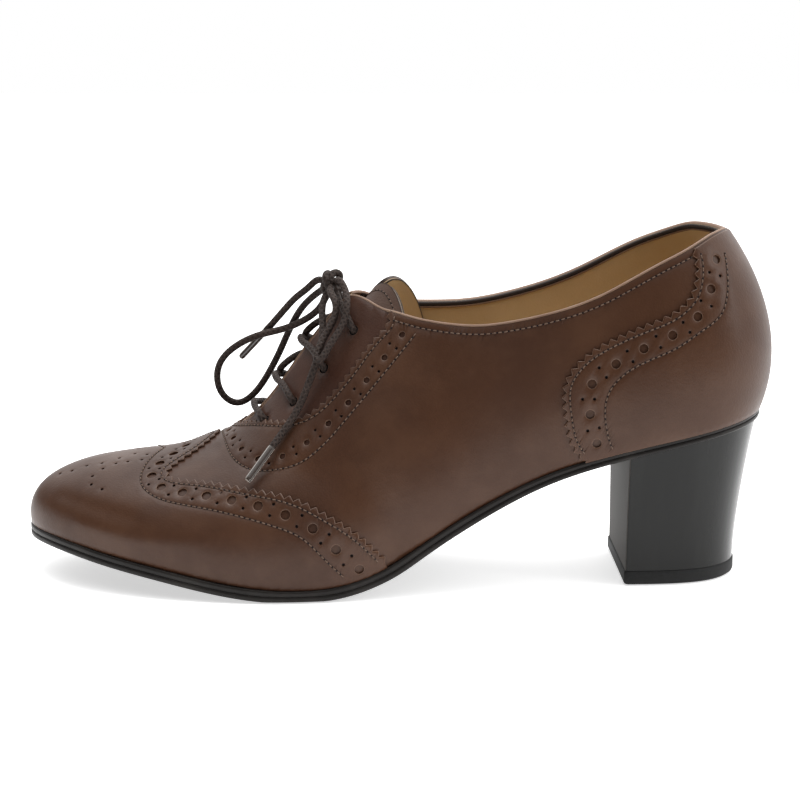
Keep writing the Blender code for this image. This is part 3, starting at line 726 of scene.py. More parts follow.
def insetLoop(q, v, distance, turn):
    # A loop beside a closed loop; turn is 1 where the leather lies to its left
    points = lastPoint(q, v)
    heading = unit(np.roll(points, -1, 0) - np.roll(points, 1, 0))
    ahead = np.roll(points, -1, 0) - points
    ahead /= np.maximum(np.linalg.norm(ahead, axis=-1, keepdims=True), 1e-9)
    lean = np.clip(np.abs(np.sum(heading * ahead, -1)), 0.55, 1.0)
    side = np.cross(outwardAt(q, v), heading) * turn
    return shifted(q, v, side * (distance / lean)[..., None])


def holeRings(q, v, radii, count):
    alongSlope = slopesAt(q, v)[0]
    normal = outwardAt(q, v)
    first = alongSlope / np.linalg.norm(alongSlope)
    second = np.cross(normal, first)
    angles = np.arange(count) * 2 * math.pi / count
    rings = []
    for radius in radii:
        moves = radius * (np.cos(angles)[:, None] * first + np.sin(angles)[:, None] * second)
        rings.append(shifted(np.full(count, float(q)), np.full(count, float(v)), moves))
    return rings


# How a leather is cut, in metres
cutting = {
    "rounding": 0.00035,
    "seamPitch": 0.0012,
    "seamDrop": 0.00020,
    "seamSide": 0.0006,
    "clear": 0.62,  # share of the spacing that stays free beside a line
    "largeOver": 0.0008,  # radius over which a hole counts as large
    "large": {"sides": 14, "lip": 0.00042, "sunk": 0.00022, "rim": 1.0},
    "small": {"sides": 9, "lip": 0.00028, "sunk": 0.00012, "rim": 0.3},
    # share of the dent's painted shade at a hole's sunk edge
    "holeDentShade": 0.4,
}


def gridOver(rows, spacing):
    # Places all over the last; every other row is set off by half a step
    columns = []
    q = rows[0]
    while q < rows[1]:
        count = max(4, int(lengthOf(lastPoint(np.full(50, q), np.linspace(0, 1, 50))) / spacing))
        offset = 0.5 * (len(columns) % 2) / count
        columns.append(np.stack([np.full(count, q), np.linspace(0, 1, count + 1)[:-1] + offset], -1))
        pace = np.linalg.norm(lastPoint(q + 0.01, 0.35) - lastPoint(q - 0.01, 0.35)) / 0.02
        q += spacing / pace
    return np.concatenate(columns)


def panel(name, border, look, lift, thick, nodes=(), inner=None, holes=(), seams=(), spacing=0.0016,
          edgeDrop=0.00022, rows=(0.0, fullRing)):
    spots = []  # q, v, height over the lift, rim, dent with painted shade
    links = []

    def addLoop(q, v, height, rim, dentShade=0.0):
        start = len(spots)
        count = len(q)
        spots.extend(zip(q, v, [height] * count, [rim] * count, [dentShade] * count))
        ids = list(range(start, start + count))
        links.extend(zip(ids, ids[1:] + ids[:1]))
        return ids

    outerLoop = addLoop(*border, -edgeDrop, 1.0)
    addLoop(*insetLoop(*border, cutting["rounding"], 1), 0.0, 0.0)
    if inner is not None:
        addLoop(*inner, -edgeDrop, 1.0)
        addLoop(*insetLoop(*inner, cutting["rounding"], -1), 0.0, 0.0)
        hollow = chartOf(*inner)
    holeOf = {}
    for number, (hq, hv, radius) in enumerate(holes):
        kind = cutting["large" if radius > cutting["largeOver"] else "small"]
        edge, rim = holeRings(np.array(hq), np.array(hv), (radius, radius + kind["lip"]), kind["sides"])
        for index in addLoop(*edge, -kind["sunk"], kind["rim"], cutting["holeDentShade"]):
            holeOf[index] = number
        addLoop(*rim, 0.0, 0.0)
    side = cutting["seamSide"]
    for seam, begin, end, inset in seams:
        s = seam.every(cutting["seamPitch"], begin, end)
        for distance, height, dentShade in ((0.0, -cutting["seamDrop"], 1.0), (side, 0.0, 0.0),
                                          (-side, 0.0, 0.0)):
            q, v = seam.beside(s, inset + distance)
            spots.extend(zip(q, v, [height] * len(q), [0.0] * len(q), [dentShade] * len(q)))

    # The grid fills what lies inside the border, away from the lines and the holes
    tree = treeOf(lastPoint(*np.array([spot[:2] for spot in spots]).T))
    grid = gridOver(rows, spacing)
    chart = chartOf(*grid.T)
    keep = within(chart, chartOf(*border))
    if inner is not None:
        keep &= ~within(chart, hollow)
    grid = grid[keep]
    places = lastPoint(*grid.T)
    clear = np.array([tree.find(point)[2] for point in places]) > cutting["clear"] * spacing
    grid = grid[clear]
    if len(holes):
        holeQ, holeV, radii = np.array(holes).T
        gaps = np.linalg.norm(places[clear][:, None] - lastPoint(holeQ, holeV)[None], axis=-1) - radii[None]
        grid = grid[np.min(gaps, 1) > 0.0]
    spots.extend((q, v, 0.0, 0.0, 0.0) for q, v in grid)

    # Triangles between all places, then the holes and the hollow come out
    spots = np.array(spots)
    chart = chartOf(spots[:, 0], spots[:, 1])
    result = delaunay_2d_cdt([Vector(point) for point in chart], links, [outerLoop], 1, 1e-8)
    sources = [source[0] if source else -1 for source in result[3]]
    if -1 in sources:
        flat = treeOf([(*point, 0) for point in chart])
        sources = [flat.find((*result[0][i], 0))[1] if source < 0 else source
                   for i, source in enumerate(sources)]
    sources = np.array(sources)
    faces = np.array([sources[list(face)] for face in result[2] if len(face) == 3])
    faces = faces[(faces[:, 0] != faces[:, 1]) & (faces[:, 1] != faces[:, 2]) & (faces[:, 0] != faces[:, 2])]
    owner = np.full(len(spots), -1)
    for index, number in holeOf.items():
        owner[index] = number
    owners = owner[faces]
    faces = faces[(owners[:, 0] < 0) | (owners[:, 0] != owners[:, 1]) | (owners[:, 0] != owners[:, 2])]
    if inner is not None:
        faces = faces[~within(chart[faces].mean(1), hollow)]
    used, faces = np.unique(faces, return_inverse=True)
    faces = faces.reshape(-1, 3)

    # The flesh side lies under the grain side, and walls join the two
    q, v, height, rim, dentShade = spots[used].T
    count = len(q)
    top = onLast(q, v, lift + height)
    bottom = onLast(q, v, np.full(count, lift - thick))
    edges = {pair for a, b, c in faces.tolist() for pair in ((a, b), (b, c), (c, a))}
    walls = [(a + count, b + count, b, a) for a, b in sorted(edges) if (b, a) not in edges]
    allFaces = faces.tolist() + (faces[:, ::-1] + count).tolist() + walls
    values = {"rim": np.concatenate([rim, rim * 0]), "dentShade": np.concatenate([dentShade, dentShade * 0])}
    addPiece(name, np.concatenate([top, bottom]), allFaces, look, nodes, values=values)
    print(name, len(allFaces), "faces")


def smoothRoute(points, spacing):
    points = np.array(points, float)
    steps = np.linalg.norm(np.diff(points, axis=0), axis=1)
    marks = np.concatenate([[0], np.cumsum(np.sqrt(steps))])
    curves = [spline(marks, points[:, axis]) for axis in range(3)]
    fine = np.stack([curve(np.linspace(0, marks[-1], 600)) for curve in curves], -1)
    length = marksAlong(fine)
    count = max(3, int(round(length[-1] / spacing)) + 1)
    wanted = np.linspace(0, length[-1], count)
    return np.stack([np.interp(wanted, length, fine[:, axis]) for axis in range(3)], -1)


def tube(name, route, radius, look, nodes=(), sides=14):
    # The radius may change along the route
    route = np.array(route)
    count = len(route)
    radius = np.broadcast_to(np.asarray(radius, float), (count,))
    heading = unit(np.gradient(route, axis=0))
    normal = np.cross(heading[0], (0.3, 0.5, 0.8))
    first = []
    for direction in heading:
        normal = normal - direction * np.dot(normal, direction)
        normal /= np.linalg.norm(normal)
        first.append(normal)
    first = np.array(first)
    second = np.cross(heading, first)
    angles = np.arange(sides) * 2 * math.pi / sides
    rings = route[:, None] + radius[:, None, None] * (
        np.cos(angles)[None, :, None] * first[:, None] + np.sin(angles)[None, :, None] * second[:, None])
    piece = addPiece(name, rings.reshape(-1, 3), tubeFaces(count, sides), look, nodes, 50.0)

    # The piece's own map: the share of the way round, and metres along the route
    marks = marksAlong(route)
    turns = np.arange(sides + 1) / sides
    places = []
    for near, far in zip(marks[:-1], marks[1:]):
        for low, high in zip(turns[:-1], turns[1:]):
            places += [(low, near), (high, near), (high, far), (low, far)]
    places += [(turn, marks[0]) for turn in turns[-2::-1]] + [(turn, marks[-1]) for turn in turns[:-1]]
    sheet = piece.data.uv_layers.new(name="route")
    sheet.data.foreach_set("uv", np.array(places, np.float32).ravel())
    return piece


# Laces, tied in a bow. Route points in millimetres, as the solids have them
laces = {
    "thickness": 0.0023,
    "spacing": 0.0006,  # from ring to ring along the bow, and along the bars
    "barSpacing": 0.0007,
    "knot": 0.0084,
    "knotClear": 0.0006,
    "knotPlace": (-115.6, -0.6, 96.2),
    "loopOuter": (
        (-113.0, -6.5, 97.8), (-111.1, -9.5, 95.2), (-110.4, -13.6, 91.8), (-110.8, -15.6, 87.9),
        (-112.2, -17.2, 84.2), (-114.3, -18.8, 80.9), (-116.3, -20.4, 77.8), (-118.0, -21.8, 75.2),
        (-119.3, -22.0, 74.1), (-119.9, -20.4, 75.4), (-119.1, -18.8, 78.0), (-117.4, -16.8, 81.3),
        (-115.5, -15.4, 84.6), (-114.2, -13.8, 87.9), (-114.2, -12.0, 91.4), (-115.8, -7.8, 94.2),
    ),
    "loopInner": (
        (-120.1, 3.6, 87.4), (-125.7, 6.0, 82.8), (-131.5, 7.4, 80.1), (-136.8, 8.0, 78.6),
        (-142.5, 9.0, 76.8), (-149.2, 10.4, 73.1), (-154.2, 11.8, 67.7), (-155.5, 12.8, 61.3),
        (-153.3, 13.4, 55.6), (-148.8, 13.8, 53.3), (-144.0, 14.0, 55.7), (-140.1, 14.0, 60.4),
        (-137.0, 13.8, 65.6), (-134.3, 13.2, 70.9), (-131.4, 12.2, 77.3), (-128.4, 10.6, 83.3),
        (-124.8, 8.4, 88.4), (-120.1, 5.0, 92.7),
    ),
    "endOuter": (
        (-118.4, -4.6, 90.6), (-118.6, -8.4, 85.8), (-118.4, -12.8, 80.3), (-119.4, -16.4, 75.7),
        (-120.7, -18.8, 71.6), (-122.8, -20.0, 65.9), (-125.4, -21.4, 59.7), (-128.5, -23.0, 54.5),
        (-131.3, -24.6, 50.7), (-134.1, -26.8, 47.1),
    ),
    "endInner": (
        (-120.4, 2.4, 96.9), (-123.8, 4.2, 94.1), (-127.8, 6.4, 90.7), (-131.9, 8.6, 86.3),
        (-135.9, 10.6, 81.6), (-138.6, 11.6, 78.6),
    ),
    "agletLength": 0.0135,
    "agletThickness": 0.0023,
    "agletCore": 0.76,  # share of its thickness that the squeezed cord fills
    "agletRings": 24,
    "agletEnds": (0.93, 0.80),
    # lace holes and where the bars cross the facing's edge: row, up, row at the edge
    "holes": ((7.48, 0.715, 7.62), (7.03, 0.700, 7.18), (6.55, 0.720, 6.70), (6.08, 0.790, 6.15)),
    "edgeUp": 0.905,
    "topEdgeUp": 0.86,
    "rest": 0.0004,  # how far a bar stands off the leather
    # the climbing strands: lift at a hole's bottom and at its edge, more lift halfway, and how far they bow
    "climb": {"deep": -0.0030, "edge": -0.0010, "more": 0.0003, "bow": 0.22},
    # rings of the knot: centre beside the knot's own, half sizes across, deep and high, turn about z
    "turnSwell": 1.10,
    "turnShare": 0.97,
    "turns": (
        ((-0.0016, 0.0000, -0.0002), (0.0006, 0.0030, 0.0033), 0.10),
        ((0.0010, 0.0000, 0.0004), (0.0007, 0.0027, 0.0030), -0.35),
        ((-0.0002, 0.0000, -0.0010), (0.0026, 0.0022, 0.0012), 0.20),
    ),
}
knotCentre = np.array(laces["knotPlace"]) * 0.001
knotReach = laces["knot"] / 2 + laces["knotClear"]
cordRadius = laces["thickness"] / 2


def routePoints(key):
    return [np.array(point) * 0.001 for point in laces[key]]


def fromKnot(point):
    # The place inside the knot where a cord toward this point begins
    return knotCentre + unit(np.array(point) - knotCentre) * (knotReach * 0.5)


def lace(name, route, nodes=(), radius=cordRadius):
    return tube(name, route, radius, cordLook, nodes)


turnAngles = np.linspace(0, 2 * math.pi * laces["turnShare"], 44)
cosines, sines, doubled = np.cos(turnAngles), np.sin(turnAngles), np.sin(2 * turnAngles)
for number, (offset, (wide, deep, high), spin) in enumerate(laces["turns"]):
    if wide > high:
        ring = np.stack([wide * cosines, deep * sines, high * doubled], -1)
    else:
        ring = np.stack([wide * doubled, deep * cosines, high * sines], -1)
    swing = np.array([[math.cos(spin), -math.sin(spin), 0], [math.sin(spin), math.cos(spin), 0], [0, 0, 1]])
    route = smoothRoute(knotCentre + offset + ring @ swing.T, laces["spacing"])
    lace(f"knot_turn_{number + 1}", route, ["lace_knot"] if number == 0 else [],
                           cordRadius * laces["turnSwell"])
for side, key in (("outer", "loopOuter"), ("inner", "loopInner")):
    points = routePoints(key)
    route = smoothRoute([fromKnot(points[0])] + points + [fromKnot(points[-1])], laces["spacing"])
    loop = lace(f"bow_loop_{side}", route, [f"lace_loop_{side}"])
    print("loop", side, round(lengthOf(route), 4))
for side, key in (("outer", "endOuter"), ("inner", "endInner")):
    # The cord runs on through the clear tube of its tip, where it is squeezed
    points = routePoints(key)
    free = smoothRoute([fromKnot(points[0])] + points, laces["spacing"])
    count = laces["agletRings"]
    tip = free[-1] + unit(free[-1] - free[-2]) * (laces["agletLength"] * np.linspace(0, 1, count))[:, None]
    route = np.concatenate([free, tip[1:-1]])
    squeezed = laces["agletThickness"] / 2 * laces["agletCore"]
    radii = np.concatenate([np.full(len(free), cordRadius), np.full(count - 2, squeezed)])
    end = lace(f"bow_end_{side}", route, [f"lace_end_{side}"], radii)
    shape = np.full(count, laces["agletThickness"] / 2)
    shape[[0, -1]] *= laces["agletEnds"]
    tipPiece = tube(f"bow_tip_{side}", tip, shape, aglet, [f"aglet_{side}"], 16)
    print("end", side, round(lengthOf(route), 4))

# Bars from hole to hole, and the two top runs up to the knot
facingDrop = 0.0008  # how far the facings lie under the last's own surface
restLift = cordRadius - facingDrop + laces["rest"]


def overFacing(row, up, edgeRow, edgeUp, side):
    # From under the hole up to the facing's edge: share of the way, rise, lift
    climb = edgeUp - up
    steps = ((0.0, -0.012, -0.0040), (0.0, 0.0, -0.0016), (0.12, 0.012, restLift * 0.6),
             (0.5, 0.5 * climb, restLift), (1.0, climb, restLift))
    points = []
    for share, rise, lift in steps:
        q = row + share * (edgeRow - row)
        points.append(onLast(q if side > 0 else fullRing - q, up + rise, lift))
    return points


for number, (row, up, edgeRow) in enumerate(laces["holes"][1:], 2):
    near, far = [overFacing(row, up, edgeRow, laces["edgeUp"], side) for side in (1, -1)]
    middle = (near[-1] + far[-1]) / 2 + outwardAt(edgeRow, 1.0) * laces["thickness"] * 0.6
    lace(f"straight_lace_{number}", smoothRoute(near + [middle] + far[::-1], laces["barSpacing"]),
         [f"lace_bar_{number}"])
for name, side in (("outer", 1), ("inner", -1)):
    run = overFacing(*laces["holes"][0], laces["topEdgeUp"], side)
    lace(f"top_lace_{name}", smoothRoute(run + [fromKnot(run[-1])], laces["barSpacing"]), [f"lace_top_{name}"])

# On the inner side the lace climbs from each hole to the next one over the facing
climb = laces["climb"]
climbLifts = ((0.0, climb["deep"]), (0.02, climb["edge"]), (0.2, restLift), (0.5, restLift + climb["more"]),
              (0.8, restLift), (0.98, climb["edge"]), (1.0, climb["deep"]))
for number, (low, high) in enumerate(zip(laces["holes"][2:0:-1], laces["holes"][1::-1]), 1):
    run = []
    for share, lift in climbLifts:
        row = low[0] + (high[0] - low[0]) * share
        up = low[1] + (high[1] - low[1]) * share + climb["bow"] * math.sin(math.pi * share)
        run.append(onLast(fullRing - row, up, lift))
    lace(f"climbing_lace_{number}", smoothRoute(run, laces["barSpacing"]))
print("laces ready")

# Lines on the last. Front lines are (row, across): 0 on the ridge, 1 at the sole
lines = {
    "facingEdge": ((7.76, 0.108), (7.50, 0.106), (7.20, 0.105), (6.90, 0.103), (6.60, 0.100), (6.40, 0.096),
                   (6.20, 0.088), (6.05, 0.074), (5.93, 0.050), (5.86, 0.022), (5.84, 0.0)),
    "facingGimp": ((7.85, 0.330), (7.78, 0.370), (7.60, 0.380), (7.28, 0.400), (7.03, 0.410), (6.70, 0.400),
                   (6.35, 0.335), (6.05, 0.220), (5.78, 0.090), (5.68, 0.0)),
    "facingStitch": ((8.10, 0.440), (7.88, 0.465), (7.45, 0.495), (7.03, 0.515), (6.43, 0.530), (6.00, 0.500),
                     (5.55, 0.430), (5.27, 0.315), (5.16, 0.165), (5.12, 0.0)),
    "facingHoles": ((7.98, 0.420), (7.80, 0.435), (7.55, 0.455), (7.28, 0.470), (7.03, 0.480), (6.73, 0.480),
                    (6.38, 0.475), (5.98, 0.445), (5.65, 0.375), (5.45, 0.270), (5.36, 0.160), (5.32, 0.0)),
    "facingUnder": ((8.60, 0.545), (8.10, 0.570), (7.45, 0.600), (7.03, 0.620), (6.40, 0.630), (5.90, 0.600),
                    (5.30, 0.520), (4.95, 0.350), (4.85, 0.170), (4.83, 0.0)),
    "wingGimp": ((7.20, 0.985), (7.05, 0.925), (6.83, 0.840), (6.48, 0.735), (6.03, 0.625), (5.23, 0.515),
                 (4.55, 0.455), (4.05, 0.410), (3.88, 0.350), (3.98, 0.280), (4.20, 0.215), (4.48, 0.155),
                 (4.75, 0.090), (4.93, 0.040), (5.00, 0.0)),
    "wingStitch": ((6.70, 0.985), (6.43, 0.890), (6.20, 0.805), (5.95, 0.750), (5.38, 0.675), (4.65, 0.620),
                   (3.95, 0.570), (3.52, 0.490), (3.33, 0.400), (3.22, 0.280), (3.16, 0.140), (3.14, 0.0)),
    "wingHoles": ((6.92, 0.985), (6.60, 0.875), (6.35, 0.780), (6.00, 0.695), (5.58, 0.625), (5.08, 0.575),
                  (4.58, 0.540), (4.10, 0.505), (3.68, 0.435), (3.52, 0.315), (3.66, 0.185), (3.90, 0.080),
                  (4.02, 0.0)),
    # round the back: (row, up)
    "topLine": ((7.76, 0.892), (7.765, 0.820), (7.78, 0.750), (7.82, 0.695), (7.92, 0.640), (8.10, 0.572),
                (8.50, 0.487), (8.90, 0.446), (9.45, 0.425), (10.05, 0.435), (10.70, 0.475), (11.20, 0.522),
                (11.70, 0.600), (12.35, 0.700), (13.00, 0.735), (13.65, 0.704), (14.30, 0.618),
                (14.80, 0.550), (15.30, 0.510), (15.95, 0.474), (16.55, 0.464), (17.10, 0.484),
                (17.50, 0.522), (17.90, 0.595), (18.08, 0.650), (18.18, 0.695), (18.22, 0.750),
                (18.235, 0.820), (18.24, 0.892)),
    "counterGimp": ((9.55, -0.005), (9.38, 0.070), (9.33, 0.155), (9.36, 0.225), (9.53, 0.270),
                    (9.85, 0.300), (10.43, 0.320), (10.78, 0.338), (11.05, 0.380), (11.18, 0.435),
                    (11.23, 0.490), (11.20, 0.527)),
    "counterStitch": ((9.90, 0.000), (9.83, 0.040), (9.78, 0.100), (9.80, 0.155), (9.92, 0.195),
                      (10.23, 0.225), (10.70, 0.245), (11.08, 0.280), (11.42, 0.325), (11.62, 0.400),
                      (11.76, 0.500), (11.86, 0.575)),
    "counterHoles": ((9.72, 0.005), (9.62, 0.110), (9.64, 0.205), (10.03, 0.248), (10.38, 0.267),
                     (10.78, 0.287), (11.12, 0.330), (11.38, 0.410), (11.60, 0.510), (11.66, 0.555)),
    # the toe's punched figure: (row, up) of small holes on the outer side
    "toeFigure": ((0.58, 0.57), (0.93, 0.63), (1.18, 0.72), (1.68, 0.765), (2.08, 0.68), (2.05, 0.58),
                  (2.25, 0.49), (2.60, 0.46), (2.02, 0.85), (2.27, 0.755), (2.33, 0.92), (2.58, 0.78),
                  (2.88, 0.885), (2.95, 0.80)),
}
gimping = {"pitch": 0.0030, "depth": 0.0014}
# lift over the last, thickness
leathers = {
    "lining": (-0.0014, 0.0006),
    "facing": (-0.0008, 0.0008),
    "vamp": (0.0, 0.0009),
    "overlay": (0.0009, 0.0010),
}


def gimped(seam, side, begin=0.0, end=0.0):
    # Pinked edge: teeth that point to one side of the line
    count = int(round((seam.length - begin - end) / gimping["pitch"]))
    pitch = (seam.length - begin - end) / count
    s = []
    for k in range(count):
        start = begin + k * pitch
        s += [start + 0.02 * pitch, start + 0.46 * pitch, start + 0.56 * pitch, start + 0.98 * pitch]
    return seam.beside(np.array(s), side * np.array([-0.5, 0.5, 0.5, -0.5] * count) * gimping["depth"])


def plainRun(seam, pitch, backwards=False):
    s = seam.every(pitch)
    return seam.at(s[::-1] if backwards else s)


def joined(*runs):
    q = np.concatenate([run[0] for run in runs])
    v = np.concatenate([run[1] for run in runs])
    points = lastPoint(q, v)
    nearest = 0.00025
    keep = [0]
    for i in range(1, len(q)):
        if np.linalg.norm(points[i] - points[keep[-1]]) > nearest:
            keep.append(i)
    if np.linalg.norm(points[keep[-1]] - points[keep[0]]) < nearest:
        keep.pop()
    return q[keep], v[keep]


def solesEdge(first, last, up, pitch=0.0012):
    # The line along the sole, from one row to another round the ring
    steps = int(abs(last - first) * rowSize / pitch) + 2
    q = np.linspace(first, last, steps)
    return np.mod(q, fullRing), np.full(steps, up)


def punched(seam, count, begin, end, large, small, apart, spread=0.0):
    # Large holes along a seam with a pair of small ones between each two; spread draws them to the middle
    shares = np.linspace(-1, 1, count)
    shares = shares * (1 - spread) + spread * shares * abs(shares)
    s = begin + (seam.length - end - begin) * (shares + 1) / 2
    holes = [(q, v, large) for q, v in zip(*seam.at(s))]
    between = (s[1:] + s[:-1]) / 2
    for side in (1, -1):
        holes += [(q, v, small) for q, v in zip(*seam.beside(between, side * apart))]
    return holes


def onBothQuarters(key):
    # The same line on each side of the heel; 1 is the outer one
    return {1: Seam(lines[key], False), -1: Seam([(fullRing - q, v) for q, v in lines[key]], False)}


facingEdge, facingGimp, facingStitch, facingHoles, wingGimp, wingStitch, wingHoles = [
    Seam(bothSides(lines[key])) for key in ("facingEdge", "facingGimp", "facingStitch", "facingHoles",
                                            "wingGimp", "wingStitch", "wingHoles")]
topLine = Seam(lines["topLine"], False)
counterGimps, counterStitches, counterHoles = [
    onBothQuarters(key) for key in ("counterGimp", "counterStitch", "counterHoles")]


def topBetween(first, last, pitch, backwards=False):
    # Part of the top line between two rows
    s = np.interp([first, last], topLine.a, topLine.marks)
    run = np.linspace(s[0], s[1], max(2, int((s[1] - s[0]) / pitch)))
    return topLine.at(run[::-1] if backwards else run)


def turnedRound(run):
    return tuple(part[::-1] for part in run)


# Radius of each kind of punched hole, and how far a seam lies inside a pinked edge
holeSizes = {"lace": 0.0017, "facing": 0.00105, "wing": 0.0016, "counter": 0.0015, "fine": 0.00052,
             "finest": 0.00048}
besideTeeth = gimping["depth"] / 2 + 0.0011
underSole = -0.006
wholeSole = fullRing * 0.9995

# Lining and facing
lift, thick = leathers["lining"]
panel("lining", solesEdge(0, wholeSole, 0.0), liningLook, lift, thick,
      inner=joined(plainRun(topLine, 0.0016), plainRun(facingEdge, 0.0016, True)), spacing=0.0028, edgeDrop=0.0)

lift, thick = leathers["facing"]
under = Seam(bothSides(lines["facingUnder"]))
eyelets = []
for row, up, _ in laces["holes"]:
    eyelets += [(row, up, holeSizes["lace"]), (fullRing - row, up, holeSizes["lace"])]
panel("facing", joined(plainRun(under, 0.0016, True), topBetween(7.76, 8.50, 0.0012, True),
                       plainRun(facingEdge, 0.0012), topBetween(17.50, 18.24, 0.0012, True)),
      facingLook, lift, thick, holes=eyelets)

# Vamp and quarters: one layer whose pinked edge runs round the lacing
lift, thick = leathers["vamp"]
laceBand = punched(facingHoles, 21, 0.0045, 0.0045, holeSizes["facing"], holeSizes["finest"], 0.00140)
# seam, free at its start and end, sideways
vampSeams = [(facingGimp, 0.0030, 0.0030, besideTeeth), (facingStitch, 0.0050, 0.0050, 0.0),
             (topLine, 0.0230, 0.0230, -0.0030)]
panel("vamp_and_quarters", solesEdge(0, wholeSole, underSole), upperLook, lift, thick,
      ["upper"], joined(topBetween(7.87, 18.13, 0.0013), turnedRound(gimped(facingGimp, -1, 0.0006, 0.0006))),
      holes=laceBand, seams=vampSeams)

# Wing cap
lift, thick = leathers["overlay"]
wingBand = punched(wingHoles, 25, 0.0028, 0.0028, holeSizes["wing"], holeSizes["fine"], 0.0019, 0.2)
wingBand = [hole for hole in wingBand if hole[1] > 0.03]
figure = [(q, v, holeSizes["fine"]) for q, v in lines["toeFigure"]]
figure += [(fullRing - q, v, size) for q, v, size in figure]
wingSeams = [(wingGimp, 0.0035, 0.0035, besideTeeth), (wingStitch, 0.0025, 0.0025, 0.0)]
wingBorder = joined(solesEdge(fullRing - 7.20, fullRing + 7.20, underSole),
                    gimped(wingGimp, -1, 0.0008, 0.0008))
panel("wing_tip", wingBorder, upperLook, lift, thick, ["wing_cap"], holes=wingBand + figure,
      seams=wingSeams)

# Heel counter
counterEnds = np.interp([14.78, 11.22], topLine.a, topLine.marks)
counterTop = topLine.beside(np.linspace(*counterEnds, 90), -0.0012)
counterBand = []
counterSeams = []
for side in (1, -1):
    counterBand += punched(counterHoles[side], 9, 0.0045, 0.0050, holeSizes["counter"], holeSizes["fine"],
                           0.0019)
    counterSeams += [(counterGimps[side], 0.0035, 0.0045, -side * besideTeeth),
                     (counterStitches[side], 0.0025, 0.0040, 0.0)]
panel("back_counter", joined(solesEdge(9.55, 16.45, underSole), gimped(counterGimps[-1], -1, 0.0006, 0.0020),
                             counterTop, turnedRound(gimped(counterGimps[1], 1, 0.0006, 0.0020))),
      upperLook, lift, thick, ["heel_counter"], holes=counterBand, seams=counterSeams,
      rows=(9.0, 17.0))
print("leathers ready")


def swept(name, seam, s, section, look, lifts=0.0):
    # A closed section of (sideways, lift) carried along a seam; it starts and ends closed
    rings = []
    for sideways, lift in section:
        q, v = seam.beside(s, sideways)
        rings.append(onLast(q, v, lift + lifts))
    points = np.stack(rings, 1).reshape(-1, 3)
    return addPiece(name, points, tubeFaces(len(s), len(section), turned=True), look, sharp=50.0)


# Folded edges round the mouth and the lacing, and the tape inside the mouth: sideways and lift of a section
edges = {
    "fold": ((-0.0007, -0.0003), (-0.0005, 0.00010), (-0.0002, 0.00016), (0.0001, -0.00005),
             (0.00022, -0.00045), (0.0002, -0.0011), (0.0, -0.00135), (-0.0007, -0.00135)),
    "tape": ((-0.0001, -0.00135), (0.00008, -0.0016), (0.00005, -0.0019), (-0.0001, -0.0022),
             (-0.0005, -0.00242), (-0.0012, -0.00245), (-0.0014, -0.0022), (-0.0012, -0.0020),
             (-0.0005, -0.0017), (-0.0003, -0.00135)),
    "liningEdge": ((-0.0014, -0.00205), (-0.0014, -0.00250), (-0.0017, -0.00262), (-0.0020, -0.00250),
                   (-0.0021, -0.00205)),
    "foldPitch": 0.0011,
    "tapePitch": 0.0016,
    "tapeFree": 0.004,
    # in front of this row the fold sinks by this much, where it meets the facings
    "frontRow": 7.90,
    "frontSunk": 0.0008,
    "lacingFlat": 0.62,  # how flat the lacing's fold is beside the mouth's
}
s = topLine.every(edges["foldPitch"])
row = np.minimum(topLine.at(s)[0], fullRing - topLine.at(s)[0])
sunk = -edges["frontSunk"] * np.clip((edges["frontRow"] - row) / 0.08, 0, 1)
# The folds and the lining's edge are coloured pale tan as a painted highlight
swept("top_line_fold", topLine, s, edges["fold"][::-1], foldHighlightLook, sunk)
s = topLine.every(edges["tapePitch"], edges["tapeFree"], edges["tapeFree"])
swept("mouth_tape", topLine, s, edges["tape"][::-1], bindingLook)
swept("lining_edge", topLine, s, edges["liningEdge"][::-1], foldHighlightLook)
facingFold = [(-side, lift * edges["lacingFlat"] + leathers["facing"][0]) for side, lift in edges["fold"]]
swept("lacing_fold", facingEdge, facingEdge.every(edges["foldPitch"]), facingFold, foldHighlightLook)

# Tongue
tongue = {
    # row, up of its edge, share of its drop behind the facings
    "line": ((5.20, 0.86, 0.00), (5.75, 0.77, 0.00), (6.50, 0.64, 0.10), (7.30, 0.56, 0.62), (7.80, 0.53, 1.20),
             (8.12, 0.52, 0.88)),
    "edgeRound": 0.00030,
    "clear": 0.0028,
    "drop": 0.0040,
    "thick": 0.0020,
    "leather": 0.0011,
    "round": 0.30,
    "skew": 0.28,
    "stitchIn": 0.0022,
    "length": 0.070,
    "rows": 100,
    "across": 61,
}
tongueEdge = spline(*zip(*[(row, up) for row, up, _ in tongue["line"]]))
tongueDrop = spline(*zip(*[(row, drop) for row, _, drop in tongue["line"]]))


def onTongue(part, share, depth):
    # part runs from its root to its end, share from the outer edge (-1) to the inner one (1)
    part, share = np.broadcast_arrays(np.asarray(part, float), np.asarray(share, float))
    first = tongue["line"][0][0]
    end = tongue["line"][-1][0] - tongue["round"] * share ** 2 + tongue["skew"] / 2 * share
    row = first + (end - first) * part
    q = np.where(share <= 0, row, fullRing - row)
    v = 1 - (1 - tongueEdge(row)) * np.abs(share)
    sunk = outwardAt(row, np.ones_like(row)) * (tongue["drop"] * tongueDrop(row))[..., None]
    return onLast(q, v, np.full_like(q, -tongue["clear"] - depth)) - sunk


